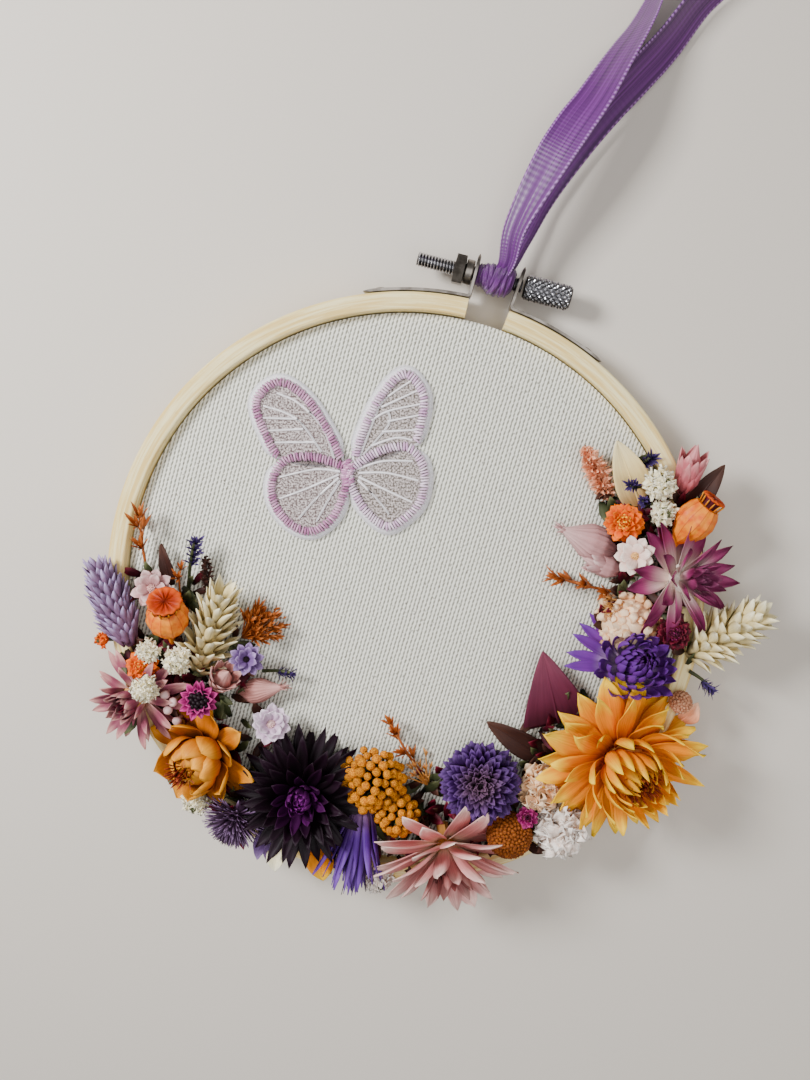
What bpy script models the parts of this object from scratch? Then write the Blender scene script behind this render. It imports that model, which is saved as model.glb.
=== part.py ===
"""Cloth stretched in a wooden hoop, with a butterfly applique and a rim of dried flowers.

The hoop lies face up. Lengths are millimetres from the hoop's centre at table height, and MM
turns them into metres. A flower stands on its foot and grows along a straight spine. Two
flowers that would meet give way at a plane between their spines, so neither enters the other.
"""

import math
from collections import namedtuple

import bmesh
import bpy
from mathutils import Matrix, Vector

MM = 0.001
GAP = 0.3
SHARP_ANGLE = 38

# Hoop and cloth
HOOP_RADIUS = 78.0
BAND = 4.6
BAND_LOW = 2.0
BAND_TOP = 11.5
BAND_ROUND = 1.2
INNER_BAND = 4.4
INNER_TOP = 7.0
INNER_ROUND = 0.6
CLOTH = 1.0
SKIRT_LOW = 0.8
SKIRT_WAVE = 0.35
SKIRT_WAVES = 9
SPLIT_AT = 73.1
SPLIT = 7.8
SEGMENTS = 64

RIM = HOOP_RADIUS - BAND
CLOTH_RADIUS = RIM - GAP
INNER_RADIUS = CLOTH_RADIUS - CLOTH - GAP
CLOTH_TOP = INNER_TOP + GAP + CLOTH
ON_CLOTH = CLOTH_TOP + GAP
ON_RING = BAND_TOP + GAP

# Screw, its nut and the two brackets that it draws together
SCREW_TIP = Vector((4.6, 86.5, 6.75))
SCREW_END = Vector((43.3, 76.0, 6.75))
SCREW_RADIUS = 1.9
SCREW_CLEARANCE = SCREW_RADIUS + GAP
KNOB_LENGTH = 12.4
KNOB_RADIUS = 3.2
SHOULDER = 0.25
SHOULDER_RADIUS = 2.5
CHAMFER = 0.5
ROUND_SIDES = 20
NUT_END = 14.5
NUT_LENGTH = 3.0
NUT_ACROSS = 7.0
NUT_SIDES = 12
COLLAR_LENGTH = 2.0
COLLAR_RADIUS = 3.1
STEEL = 0.8
STRAP_LOW = 2.9
STRAP_HIGH = 10.6
STRAP_STEPS = 8
LUG_LENGTH = 10.8
BRACKETS = (
    # name, strap's far end and its lug's place round the ring, the lug's direction, in degrees
    ("bracket_left", 96.5, SPLIT_AT + SPLIT / 2, 75.0),
    ("bracket_right", 50.0, SPLIT_AT - SPLIT / 2, 70.0),
)

# Ribbon
KNOT_AT = 20.6
KNOT_SIDES = 12

# Applique
MARGIN = 1.9
STITCH = 2.6
RIDGE = 0.8
WING_POINTS = 22
WING_STEP = 0.05

# Flowers
STALK = 2.2
HALF_CLEARANCE = 0.16
LEAF_HALF = 0.65
UPRIGHT = 0.35
LEAST_REACH = 0.06
SETTLE = 40

FINISHES = {
    # name: colour, roughness, metallic
    "beech": ((0.76, 0.66, 0.44), 0.55, 0.0),
    "duck": ((0.70, 0.68, 0.62), 0.95, 0.0),
    "thread": ((0.74, 0.52, 0.70), 0.60, 0.0),
    "steel": ((0.36, 0.35, 0.34), 0.35, 1.0),
    "nickel": ((0.68, 0.67, 0.66), 0.25, 1.0),
    "satin": ((0.22, 0.10, 0.50), 0.40, 0.0),
    "orange": ((0.80, 0.34, 0.05), 0.70, 0.0),
    "gold": ((0.83, 0.44, 0.07), 0.70, 0.0),
    "mauve": ((0.45, 0.24, 0.30), 0.75, 0.0),
    "plum": ((0.06, 0.02, 0.08), 0.60, 0.0),
    "violet": ((0.20, 0.09, 0.48), 0.70, 0.0),
    "blue": ((0.17, 0.11, 0.36), 0.80, 0.0),
    "pink": ((0.70, 0.42, 0.40), 0.75, 0.0),
    "magenta": ((0.40, 0.08, 0.27), 0.70, 0.0),
    "white": ((0.80, 0.76, 0.64), 0.85, 0.0),
    "cream": ((0.66, 0.61, 0.43), 0.80, 0.0),
    "lilac": ((0.42, 0.35, 0.52), 0.80, 0.0),
    "rust": ((0.50, 0.20, 0.06), 0.85, 0.0),
    "blush": ((0.70, 0.50, 0.42), 0.80, 0.0),
    "grey": ((0.24, 0.17, 0.26), 0.85, 0.0),
    "yellow": ((0.72, 0.42, 0.03), 0.80, 0.0),
    "wine": ((0.16, 0.04, 0.07), 0.60, 0.0),
}

# Half of the ribbon's loop after the other: the upper strand runs out, the lower one back.
# Roll is how far the width stands up from level, towards the right of the way it runs.
RIBBON = (
    # x, y, z, width, thick, roll
    (25.4, 82.2, 8.7, 4.6, 2.0, 20),
    (27.0, 84.8, 10.6, 4.8, 1.8, 20),
    (29.0, 93.0, 12.6, 6.2, 1.3, 20),
    (36.4, 106.6, 14.2, 9.2, 1.0, 22),
    (41.5, 114.5, 14.2, 10.0, 1.0, 25),
    (47.4, 122.6, 13.0, 10.0, 1.0, 34),
    (53.5, 132.4, 9.8, 10.0, 1.0, 48),
    (58.6, 140.2, 7.0, 10.0, 1.0, 60),
    (61.8, 146.1, 5.7, 10.0, 1.0, 68),
    (65.7, 154.1, 5.6, 10.0, 1.0, 76),
    (70.1, 161.7, 5.6, 10.0, 1.0, 84),
    (75.6, 168.2, 5.6, 10.0, 1.0, 90),
    (82.7, 170.4, 5.6, 10.0, 1.0, 90),
    (88.3, 166.6, 5.6, 10.0, 1.0, 86),
    (88.3, 160.6, 5.5, 10.0, 1.0, 74),
    (83.5, 154.4, 5.2, 10.0, 1.0, 60),
    (73.9, 146.3, 4.9, 10.0, 1.0, 52),
    (66.4, 136.9, 4.8, 10.0, 1.0, 46),
    (59.3, 129.5, 4.6, 10.0, 1.0, 42),
    (49.8, 119.7, 4.5, 9.6, 1.0, 38),
    (38.3, 104.8, 4.3, 8.0, 1.0, 34),
    (31.4, 92.1, 4.4, 5.6, 1.3, 28),
    (28.0, 85.5, 5.0, 4.4, 1.8, 20),
    (25.8, 82.4, 5.6, 4.0, 2.0, 20),
)
STRIP_STEPS = 3

# The hitch is a lumpy sleeve round the screw.
KNOT = (
    # along the screw from the middle, radius
    (-4.7, 3.0),
    (-3.9, 3.5),
    (-2.9, 3.1),
    (-1.8, 4.1),
    (0.2, 4.6),
    (1.5, 4.4),
    (2.2, 3.6),
    (3.2, 4.5),
    (4.1, 4.1),
    (4.5, 3.2),
)

# Wings, each a drop shape that widens from its root
BUTTERFLY = Vector((-14.1, 34.6, ON_CLOTH))
WINGS = (
    # direction in degrees, length, width, root's narrowness
    (131, 33.5, 17.6, 0.55),
    (55, 33.5, 18.2, 0.55),
    (228, 24.5, 19.0, 0.35),
    (318, 25.0, 18.6, 0.35),
)

# How each kind swells along its spine. Out is a share of the radius. A notch draws in every
# other point by its share, and a negative notch draws in the points between those.
SHAPES = {
    # kind: (along, out, notch), ...
    "cup": ((0.10, 0.42, 0), (0.30, 1.0, 0.34), (0.42, 0.62, 0), (0.58, 0.80, -0.30),
            (0.68, 0.50, 0), (0.88, 0.44, 0.12), (1.0, 0.16, 0)),
    "rosette": ((0.12, 0.40, 0), (0.26, 1.0, 0.42), (0.36, 0.66, 0), (0.50, 0.90, -0.38),
                (0.60, 0.56, 0), (0.78, 0.60, 0.30), (1.0, 0.18, 0)),
    "pompon": ((0.08, 0.55, 0), (0.26, 0.96, 0.16), (0.48, 1.0, -0.14), (0.72, 0.84, 0.16),
               (0.90, 0.52, -0.14), (1.0, 0.18, 0)),
    "spike": ((0.06, 0.45, 0), (0.20, 0.95, 0.36), (0.36, 1.0, -0.36), (0.54, 0.90, 0.36),
              (0.72, 0.70, -0.36), (0.88, 0.42, 0.3), (1.0, 0.06, 0)),
    "lumps": ((0.12, 0.86, 0.14), (0.36, 1.0, -0.16), (0.64, 0.90, 0.16), (0.86, 0.56, -0.16),
              (1.0, 0.20, 0)),
    "pod": ((0.18, 0.70, 0), (0.44, 1.0, 0), (0.68, 0.82, 0), (0.80, 0.56, 0), (0.86, 0.94, 0.1),
            (0.96, 0.98, 0.1), (0.98, 0.70, 0)),
    "bud": ((0.18, 0.78, 0), (0.42, 1.0, 0.08), (0.70, 0.66, 0.12), (0.90, 0.34, 0.3),
            (1.0, 0.12, 0)),
    "daisy": ((0.62, 0.20, 0), (0.76, 1.0, 0.30), (0.84, 0.50, 0), (1.0, 0.26, 0)),
    "tuft": ((0.55, 0.24, 0), (0.68, 0.94, 0.24), (0.84, 1.0, -0.24), (1.0, 0.40, 0)),
    "button": ((0.40, 0.30, 0), (0.56, 1.0, 0.14), (0.74, 0.92, -0.14), (0.94, 0.56, 0.14),
               (1.0, 0.24, 0)),
    "brush": ((0.10, 0.34, 0), (0.70, 1.0, 0.30), (0.84, 0.80, -0.26), (1.0, 0.40, 0)),
    "sprig": ((0.20, 0.34, 0), (0.42, 0.90, 0.5), (0.52, 0.40, 0), (0.68, 1.0, -0.5),
              (0.78, 0.44, 0), (0.90, 0.74, 0.4), (1.0, 0.10, 0)),
    "leaf": ((0.14, 0.50, 0), (0.34, 0.92, 0), (0.55, 1.0, 0), (0.80, 0.62, 0), (1.0, 0.06, 0)),
}

FLOWERS = (
    # name, kind, finish, foot x and y, seat, tip, radius, points, turn
    ("strawflower_orange", "cup", "orange", (-51, -41), ON_CLOTH, (-53.5, -41.5, 27), 14.6, 10, 8),
    ("strawflower_mauve", "rosette", "mauve", (-68.5, -30.2), ON_RING, (-73, -26, 23), 12.6, 11, 0),
    ("tuft_white_upper", "tuft", "white", (-66.2, -14.4), ON_CLOTH, (-64.5, -11.7, 22), 3.4, 6, 0),
    ("tuft_white_inner", "tuft", "white", (-59.6, -18.2), ON_CLOTH, (-57.1, -14.2, 22), 4.0, 6, 15),
    ("tuft_white_lower", "tuft", "white", (-65.6, -24.4), ON_CLOTH, (-64.9, -21, 26), 3.8, 6, 5),
    ("button_orange_left", "button", "orange", (-67.5, -18.8), ON_CLOTH, (-67.9, -16.6, 19), 4.8, 6, 0),
    ("poppy_left", "pod", "orange", (-62.7, -10.6), ON_CLOTH, (-58.3, -0.4, 27), 5.6, 8, 0),
    ("daisy_pink", "daisy", "pink", (-65.0, 1.0), ON_CLOTH, (-63.8, 3.9, 18), 4.9, 7, 10),
    ("canary_lilac", "spike", "lilac", (-73.2, -13.4), ON_RING, (-79.3, 10.2, 17.5), 6.0, 6, 0),
    ("canary_cream_left", "spike", "cream", (-55.3, -21.3), ON_CLOTH, (-44.6, 4.1, 19), 6.3, 6, 10),
    ("sprig_left", "sprig", "rust", (-67.2, 3.6), ON_CLOTH, (-66.6, 24.1, 14.5), 3.0, 4, 0),
    ("lavender_left", "brush", "violet", (-56.8, 1.8), ON_CLOTH, (-52.5, 15.9, 15), 3.3, 6, 0),
    ("spray_rust", "brush", "rust", (-42.8, -11.4), ON_CLOTH, (-33.7, -5.0, 13.5), 5.1, 6, 0),
    ("daisy_violet", "daisy", "lilac", (-41.4, -18.2), ON_CLOTH, (-39.7, -14.7, 18), 4.3, 8, 0),
    ("bud_open", "bud", "blush", (-50.3, -24.9), ON_CLOTH, (-43.8, -17.4, 20), 3.1, 6, 0),
    ("bud_striated", "bud", "blush", (-44.7, -26.8), ON_CLOTH, (-30, -23.2, 14), 3.6, 6, 0),
    ("daisy_magenta", "daisy", "magenta", (-53.7, -28.5), ON_CLOTH, (-51.6, -24.7, 22), 5.0, 9, 0),
    ("daisy_lilac", "daisy", "lilac", (-36, -36.2), ON_CLOTH, (-33.7, -32, 18), 5.0, 8, 0),
    ("strawflower_plum", "rosette", "plum", (-27, -52.8), ON_CLOTH, (-26, -49.5, 27), 16.0, 12, 0),
    ("thistle_grey", "brush", "grey", (-45.5, -60), ON_RING, (-49, -62.5, 21), 7.6, 8, 0),
    ("tansy", "lumps", "yellow", (-5.1, -54.4), ON_CLOTH, (-4.6, -51, 22), 10.6, 8, 0),
    ("sprig_bottom", "sprig", "rust", (7.2, -52), ON_CLOTH, (-3.6, -30.8, 13), 3.0, 4, 0),
    ("strawflower_violet_low", "brush", "violet", (-10.8, -61.5), ON_CLOTH, (-13, -70, 21), 9.2, 9, 0),
    ("strawflower_pink", "rosette", "pink", (10.1, -64), ON_CLOTH, (12.5, -71.5, 24), 14.6, 11, 0),
    ("strawflower_blue", "pompon", "blue", (20.8, -50.2), ON_CLOTH, (20.5, -45.5, 25), 10.5, 10, 0),
    ("ball_gold", "pompon", "gold", (28.2, -64), ON_CLOTH, (28.5, -61, 22), 6.0, 7, 0),
    ("bud_magenta", "button", "magenta", (33.4, -60.6), ON_CLOTH, (32.4, -54, 24), 3.1, 6, 0),
    ("fluff_blush", "lumps", "blush", (37.2, -52.0), ON_CLOTH, (36.1, -48.5, 18), 4.5, 6, 0),
    ("fluff_white", "lumps", "white", (42.2, -62.2), ON_RING, (41, -59.5, 19), 5.6, 6, 0),
    ("leaf_plum", "leaf", "wine", (44.5, -33.4), ON_CLOTH, (36.7, -13.1, 15), 8.1, 4, 0),
    ("leaf_brown", "leaf", "wine", (38.9, -44.2), ON_CLOTH, (22.5, -32.6, 13), 3.6, 4, 0),
    ("strawflower_gold", "rosette", "gold", (56, -41.5), ON_CLOTH, (55.5, -39.5, 28), 18.8, 12, 0),
    ("strawflower_violet", "rosette", "violet", (60.7, -19.4), ON_CLOTH, (59.2, -15.6, 27), 12.0, 11, 0),
    ("canary_cream_right", "spike", "cream", (73.8, -14.7), ON_RING, (90.3, -1.6, 19), 5.7, 6, 0),
    ("berries", "lumps", "wine", (69.3, -9.2), ON_CLOTH, (69.2, -7, 20), 4.8, 6, 0),
    ("statice", "lumps", "blush", (58.9, -7.3), ON_CLOTH, (57.4, -5.5, 17), 8.6, 8, 0),
    ("strawflower_magenta", "rosette", "magenta", (67.4, 5.2), ON_CLOTH, (73.2, 6.6, 25), 14.2, 10, 0),
    ("daisy_cream", "daisy", "white", (60.2, 10.3), ON_CLOTH, (57.8, 13.1, 23), 5.2, 8, 0),
    ("button_orange_right", "button", "orange", (57.4, 19.1), ON_CLOTH, (55.5, 21.2, 21), 5.4, 8, 0),
    ("tuft_white_high", "tuft", "white", (64, 28.4), ON_CLOTH, (65.1, 30.6, 21), 4.5, 6, 0),
    ("tuft_white_low", "tuft", "white", (66, 21.4), ON_CLOTH, (65.4, 23.2, 20), 4.0, 6, 0),
    ("poppy_right", "pod", "orange", (72.8, 15.6), ON_RING, (77.3, 26.3, 20.5), 5.8, 8, 0),
    ("bud_striped", "bud", "blush", (55.9, 11.8), ON_CLOTH, (39.9, 18.9, 13.5), 5.1, 7, 0),
    ("sprig_right", "sprig", "rust", (59, 0.9), ON_CLOTH, (37.3, 7.4, 13.5), 3.0, 4, 0),
    ("plume_peach", "lumps", "blush", (53.6, 25.6), ON_CLOTH, (46.3, 39.4, 14), 4.2, 6, 0),
    ("leaf_blush", "leaf", "blush", (61.7, 23.6), ON_CLOTH, (53.9, 40.7, 16), 4.8, 4, 0),
    ("lavender_right", "brush", "violet", (59.8, 32.6), ON_CLOTH, (62.6, 36.6, 17), 3.0, 6, 0),
    ("bud_pink_right", "bud", "pink", (71, 26.6), ON_RING, (73.4, 40.2, 18), 3.4, 6, 0),
    ("leaf_dark", "leaf", "wine", (71.4, 21.4), ON_RING, (80.7, 34.6, 15), 3.5, 4, 0),
)
Flower = namedtuple("Flower", "name kind finish foot seat tip radius points turn")


def clear_scene():
    for obj in list(bpy.data.objects):
        bpy.data.objects.remove(obj, do_unlink=True)


def finish_material(name):
    if name in bpy.data.materials:
        return bpy.data.materials[name]
    colour, roughness, metallic = FINISHES[name]
    material = bpy.data.materials.new(name)
    material.use_nodes = True
    shader = material.node_tree.nodes["Principled BSDF"]
    shader.inputs["Base Color"].default_value = (*colour, 1.0)
    shader.inputs["Roughness"].default_value = roughness
    shader.inputs["Metallic"].default_value = metallic
    return material


def place(bm, name, finish, hoop, origin=Vector((0, 0, 0)), smooth=True):
    """An object of the hoop whose mesh is in metres about its own origin."""
    bmesh.ops.translate(bm, verts=bm.verts, vec=-origin)
    bmesh.ops.scale(bm, verts=bm.verts, vec=(MM, MM, MM))
    bmesh.ops.recalc_face_normals(bm, faces=bm.faces)
    mesh = bpy.data.meshes.new(name)
    bm.to_mesh(mesh)
    bm.free()
    if smooth:
        mesh.shade_smooth()
        mesh.set_sharp_from_angle(angle=math.radians(SHARP_ANGLE))
    mesh.materials.append(finish_material(finish))
    obj = bpy.data.objects.new(name, mesh)
    obj.parent = hoop
    obj.location = origin * MM
    bpy.context.scene.collection.objects.link(obj)
    return obj


def as_helper(obj):
    obj.hide_render = True
    obj.display_type = "WIRE"
    return obj


def add_boolean(obj, other, operation):
    modifier = obj.modifiers.new(f"{operation.lower()} {other.name}", "BOOLEAN")
    modifier.operation = operation
    modifier.object = other


def spun(profile, closed, start=0.0, sweep=360.0, steps=SEGMENTS):
    """A (radius, height) outline turned about Z. The open ends of a part turn are filled."""
    bm = bmesh.new()
    first = Matrix.Rotation(math.radians(start), 3, "Z")
    verts = [bm.verts.new(first @ Vector((radius, 0, height))) for radius, height in profile]
    pairs = zip(verts, verts[1:] + verts[:1]) if closed else zip(verts, verts[1:])
    edges = [bm.edges.new(pair) for pair in pairs]
    full = sweep >= 360.0
    bmesh.ops.spin(
        bm, geom=verts + edges, cent=(0, 0, 0), axis=(0, 0, 1),
        angle=math.radians(sweep), steps=steps, use_merge=full,
    )
    bmesh.ops.remove_doubles(bm, verts=bm.verts, dist=0.001)
    bmesh.ops.holes_fill(bm, edges=[edge for edge in bm.edges if edge.is_boundary], sides=0)
    return bm


def grown(rings):
    """A closed skin: the first ring's face is extruded through the rings that follow."""
    bm = bmesh.new()
    face = bm.faces.new([bm.verts.new(point) for point in rings[0]])
    for ring in rings[1:]:
        grown_on = bmesh.ops.extrude_face_region(bm, geom=[face])["geom"]
        if ring is not rings[1]:
            bmesh.ops.delete(bm, geom=[face], context="FACES_ONLY")
        face = next(item for item in grown_on if isinstance(item, bmesh.types.BMFace))
        for vert, point in zip(face.verts, ring):
            vert.co = point
    return bm


def rounded_box(inside, outside, low, high, corner):
    return (
        (inside + corner, low), (outside - corner, low),
        (outside, low + corner), (outside, high - corner),
        (outside - corner, high), (inside + corner, high),
        (inside, high - corner), (inside, low + corner),
    )


def make_rings(hoop):
    section = rounded_box(RIM, HOOP_RADIUS, BAND_LOW, BAND_TOP, BAND_ROUND)
    split_end = SPLIT_AT + SPLIT / 2
    outer = spun(section, closed=True, start=split_end, sweep=360 - SPLIT)
    place(outer, "outer_ring", "beech", hoop)
    section = rounded_box(INNER_RADIUS - INNER_BAND, INNER_RADIUS, 0, INNER_TOP, INNER_ROUND)
    place(spun(section, closed=True), "inner_ring", "beech", hoop)


def make_canvas(hoop):
    """The stretched round and the edge turned down outside the inner ring, cut a little unevenly."""
    inside = CLOTH_RADIUS - CLOTH
    profile = (
        (0, CLOTH_TOP), (CLOTH_RADIUS - CLOTH, CLOTH_TOP), (CLOTH_RADIUS, CLOTH_TOP - CLOTH),
        (CLOTH_RADIUS, SKIRT_LOW), (inside, SKIRT_LOW),
        (inside, CLOTH_TOP - CLOTH), (0, CLOTH_TOP - CLOTH),
    )
    bm = spun(profile, closed=False)
    for vert in bm.verts:
        if vert.co.z < SKIRT_LOW + 0.01:
            around = math.atan2(vert.co.y, vert.co.x)
            vert.co.z += SKIRT_WAVE * math.sin(SKIRT_WAVES * around)
    place(bm, "canvas", "duck", hoop)


def screw_frame():
    """Turns local lengths, with Z along the screw from its tip, into the hoop's."""
    along = (SCREW_END - SCREW_TIP).normalized()
    turn = Vector((0, 0, 1)).rotation_difference(along).to_matrix().to_4x4()
    return Matrix.Translation(SCREW_TIP) @ turn


def make_screw(hoop):
    length = (SCREW_END - SCREW_TIP).length
    knob = length - KNOB_LENGTH
    profile = (
        (0, 0), (SCREW_RADIUS - CHAMFER, 0), (SCREW_RADIUS, CHAMFER), (SCREW_RADIUS, knob - SHOULDER),
        (SHOULDER_RADIUS, knob - SHOULDER), (SHOULDER_RADIUS, knob),
        (KNOB_RADIUS - CHAMFER, knob), (KNOB_RADIUS, knob + CHAMFER),
        (KNOB_RADIUS, length - CHAMFER), (KNOB_RADIUS - CHAMFER, length), (0, length),
    )
    bm = spun(profile, closed=False, steps=ROUND_SIDES)
    bmesh.ops.transform(bm, matrix=screw_frame(), verts=bm.verts)
    place(bm, "screw", "nickel", hoop)


def make_clearance(hoop):
    """The bore that the screw runs through, used as a cutter."""
    bm = bmesh.new()
    depth = (SCREW_END - SCREW_TIP).length + 10
    bmesh.ops.create_cone(
        bm, cap_ends=True, segments=KNOT_SIDES, radius1=SCREW_CLEARANCE, radius2=SCREW_CLEARANCE,
        depth=depth, matrix=screw_frame() @ Matrix.Translation((0, 0, depth / 2 - 5)),
    )
    return as_helper(place(bm, "screw_clearance", "steel", hoop))


def make_nut(hoop, clearance):
    """A hexagon nut and the round collar behind it, in one turned piece."""
    corner = NUT_ACROSS / math.sqrt(3)
    flat = NUT_ACROSS / 2

    def ring(even, odd, height):
        points = []
        for i in range(NUT_SIDES):
            angle = math.tau * i / NUT_SIDES
            out = odd if i % 2 else even
            points.append(Vector((out * math.cos(angle), out * math.sin(angle), height)))
        return points

    step = NUT_END - COLLAR_LENGTH
    rings = [
        ring(corner, flat, step - NUT_LENGTH),
        ring(corner, flat, step),
        ring(COLLAR_RADIUS, COLLAR_RADIUS, step + CHAMFER / 5),
        ring(COLLAR_RADIUS, COLLAR_RADIUS, NUT_END),
    ]
    bm = grown(rings)
    bmesh.ops.transform(bm, matrix=screw_frame(), verts=bm.verts)
    add_boolean(place(bm, "nut", "steel", hoop), clearance, "DIFFERENCE")


def strip_rings(points, half_width, half_thick):
    """Upright rectangles across a level path, for a bent steel strap."""
    rings = []
    for i, point in enumerate(points):
        ahead = points[min(i + 1, len(points) - 1)]
        behind = points[max(i - 1, 0)]
        side = (ahead - behind).cross(Vector((0, 0, 1))).normalized() * half_thick
        up = Vector((0, 0, half_width))
        rings.append([point - side - up, point + side - up, point + side + up, point - side + up])
    return rings


def make_bracket(name, far, near, lug_direction, hoop, clearance):
    """A strap along the ring's wall from far to near, in degrees, then bent out into its lug."""
    radius = HOOP_RADIUS + GAP + STEEL / 2
    middle = (STRAP_LOW + STRAP_HIGH) / 2
    points = []
    for i in range(STRAP_STEPS + 1):
        angle = math.radians(far + (near - far) * i / STRAP_STEPS)
        points.append(Vector((radius * math.cos(angle), radius * math.sin(angle), middle)))
    out = Vector((math.cos(math.radians(lug_direction)), math.sin(math.radians(lug_direction)), 0))
    corner = points.pop()
    run = (corner - points[-1]).normalized()
    points += [corner - run * STEEL, corner + out * STEEL, corner + out * LUG_LENGTH]
    bm = grown(strip_rings(points, (STRAP_HIGH - STRAP_LOW) / 2, STEEL / 2))
    add_boolean(place(bm, name, "steel", hoop), clearance, "DIFFERENCE")


def smooth_rows(rows, steps):
    """Rows between the given ones, on a smooth curve through them."""
    last = len(rows) - 1
    found = []
    for i in range(last):
        before, start, end, after = (rows[max(i - 1, 0)], rows[i], rows[i + 1], rows[min(i + 2, last)])
        for step in range(steps):
            t = step / steps
            found.append(tuple(
                b + 0.5 * t * ((c - a) + t * (2 * a - 5 * b + 4 * c - d + t * (3 * (b - c) + d - a)))
                for a, b, c, d in zip(before, start, end, after)
            ))
    return found + [rows[last]]


def make_ribbon(hoop, clearance):
    rows = smooth_rows(RIBBON, STRIP_STEPS)
    places = [Vector(row[:3]) for row in rows]
    rings = []
    for i, (_, _, _, width, thick, roll) in enumerate(rows):
        run = (places[min(i + 1, len(rows) - 1)] - places[max(i - 1, 0)]).normalized()
        level = run.cross(Vector((0, 0, 1))).normalized()
        lean = math.radians(roll)
        across = (level * math.cos(lean) + level.cross(run) * math.sin(lean)) * width / 2
        face = run.cross(across).normalized() * thick / 2
        point = places[i]
        rings.append([point - across - face, point + across - face,
                      point + across + face, point - across + face])
    loop = place(grown(rings), "ribbon", "satin", hoop)
    knot_rings = []
    for along, radius in KNOT:
        ring = []
        for i in range(KNOT_SIDES):
            angle = math.tau * (i + 0.5) / KNOT_SIDES
            ring.append(Vector((radius * math.cos(angle), radius * math.sin(angle), KNOT_AT + along)))
        knot_rings.append(ring)
    bm = grown(knot_rings)
    bmesh.ops.transform(bm, matrix=screw_frame(), verts=bm.verts)
    knot = as_helper(place(bm, "ribbon_hitch", "satin", hoop))
    add_boolean(loop, knot, "UNION")
    add_boolean(loop, clearance, "DIFFERENCE")


def wing_outline(length, width, narrow, inset, height):
    """A drop shape with its root at the origin and its far end along X, drawn in by an inset."""
    points = []
    for i in range(WING_POINTS):
        around = math.tau * (i + 0.5) / WING_POINTS
        along = inset + (length - 2 * inset) * (1 - math.cos(around)) / 2
        side = (width / 2 - inset) * math.sin(around) * math.sin(around / 2) ** narrow
        points.append(Vector((along, side, height)))
    return points


def make_butterfly(hoop):
    """Four wings, each a sheer plate with a raised stitched ridge round it, joined at the body."""
    ridge_bottom = CLOTH
    first = None
    for number, (direction, length, width, narrow) in enumerate(WINGS):
        rise = number * WING_STEP
        rings = [
            wing_outline(length + 2 * MARGIN, width + 2 * MARGIN, narrow, inset, height)
            for inset, height in (
                (0, 0), (0, ridge_bottom + rise), (MARGIN, ridge_bottom + rise),
                (MARGIN + STITCH / 2, ridge_bottom + RIDGE + rise), (MARGIN + STITCH, ridge_bottom + rise),
            )
        ]
        bm = grown(rings)
        root = MARGIN + STITCH / 2
        turn = Matrix.Rotation(math.radians(direction), 4, "Z") @ Matrix.Translation((-root, 0, 0))
        bmesh.ops.transform(bm, matrix=turn, verts=bm.verts)
        bmesh.ops.translate(bm, verts=bm.verts, vec=BUTTERFLY)
        name = f"butterfly_wing_{number}" if first else "butterfly"
        wing = place(bm, name, "thread", hoop, origin=BUTTERFLY)
        if first is None:
            first = wing
        else:
            add_boolean(first, as_helper(wing), "UNION")


def dropped(point, flower):
    """The point of a flower's spine nearest to a given point."""
    spine = flower.tip - flower.foot
    share = (point - flower.foot).dot(spine) / spine.length_squared
    return flower.foot + spine * min(max(share, 0), 1)


def walls_of(flower, others):
    """Half-spaces (normal, offset) that a flower keeps to: its seat, and a plane for each neighbour."""
    spread = max(flower.foot.xy.length, flower.tip.xy.length) + flower.radius
    floor = ON_RING if spread > RIM - HALF_CLEARANCE else flower.seat
    walls = [(Vector((0, 0, -1)), -floor)]
    for other in others:
        if other is flower:
            continue
        mine = flower.foot
        for _ in range(SETTLE):
            theirs = dropped(mine, other)
            mine = dropped(theirs, flower)
        apart = theirs - mine
        if apart.length > flower.radius + other.radius:
            continue
        share = flower.radius / (flower.radius + other.radius)
        normal = apart.normalized()
        walls.append((normal, normal.dot(mine + apart * share) - HALF_CLEARANCE))
    return floor, walls


def kept_inside(centre, point, walls):
    """Draws a point in towards its ring's centre until it is within every wall."""
    reach = 1.0
    for normal, offset in walls:
        outward = normal.dot(point - centre)
        if outward > 0:
            reach = min(reach, (offset - normal.dot(centre)) / outward)
    return centre + (point - centre) * max(reach, LEAST_REACH)


def flower_rings(flower, floor, walls):
    spine = flower.tip - flower.foot
    up = Vector((0, 0, 1))
    across = up.cross(spine).normalized() if spine.xy.length > 0.1 else Vector((1, 0, 0))
    foot = min(STALK, flower.radius / 2)
    count = 2 * flower.points
    lift = (floor - flower.foot.z) / spine.z

    def ring_at(along, out, notch, tilt, limits):
        centre = flower.foot + spine * along
        lean = up.lerp(spine.normalized(), tilt).normalized()
        aside = lean.cross(across)
        ring = []
        for i in range(count):
            angle = math.radians(flower.turn) + math.tau * i / count
            reach = out
            if notch > 0 and i % 2:
                reach = out * (1 - notch)
            if notch < 0 and i % 2 == 0:
                reach = out * (1 + notch)
            thick = min(reach, LEAF_HALF) if flower.kind == "leaf" else reach
            offset = across * reach * math.cos(angle) + aside * thick * math.sin(angle)
            ring.append(kept_inside(centre, centre + offset, limits))
        return ring

    rings = [ring_at(0, foot, 0, 0, walls[1:])]
    if lift > 0:
        rings.append(ring_at(lift, foot, 0, 0, walls[1:]))
    for along, out, notch in SHAPES[flower.kind]:
        if along > lift + 0.03:
            rings.append(ring_at(along, out * flower.radius, notch, min(along / UPRIGHT, 1), walls))
    return rings


def make_flowers(hoop):
    rows = [Flower(*row) for row in FLOWERS]
    flowers = [row._replace(foot=Vector((*row.foot, row.seat)), tip=Vector(row.tip)) for row in rows]
    for flower in flowers:
        floor, walls = walls_of(flower, flowers)
        bm = grown(flower_rings(flower, floor, walls))
        place(bm, flower.name, flower.finish, hoop, origin=flower.foot, smooth=False)


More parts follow.
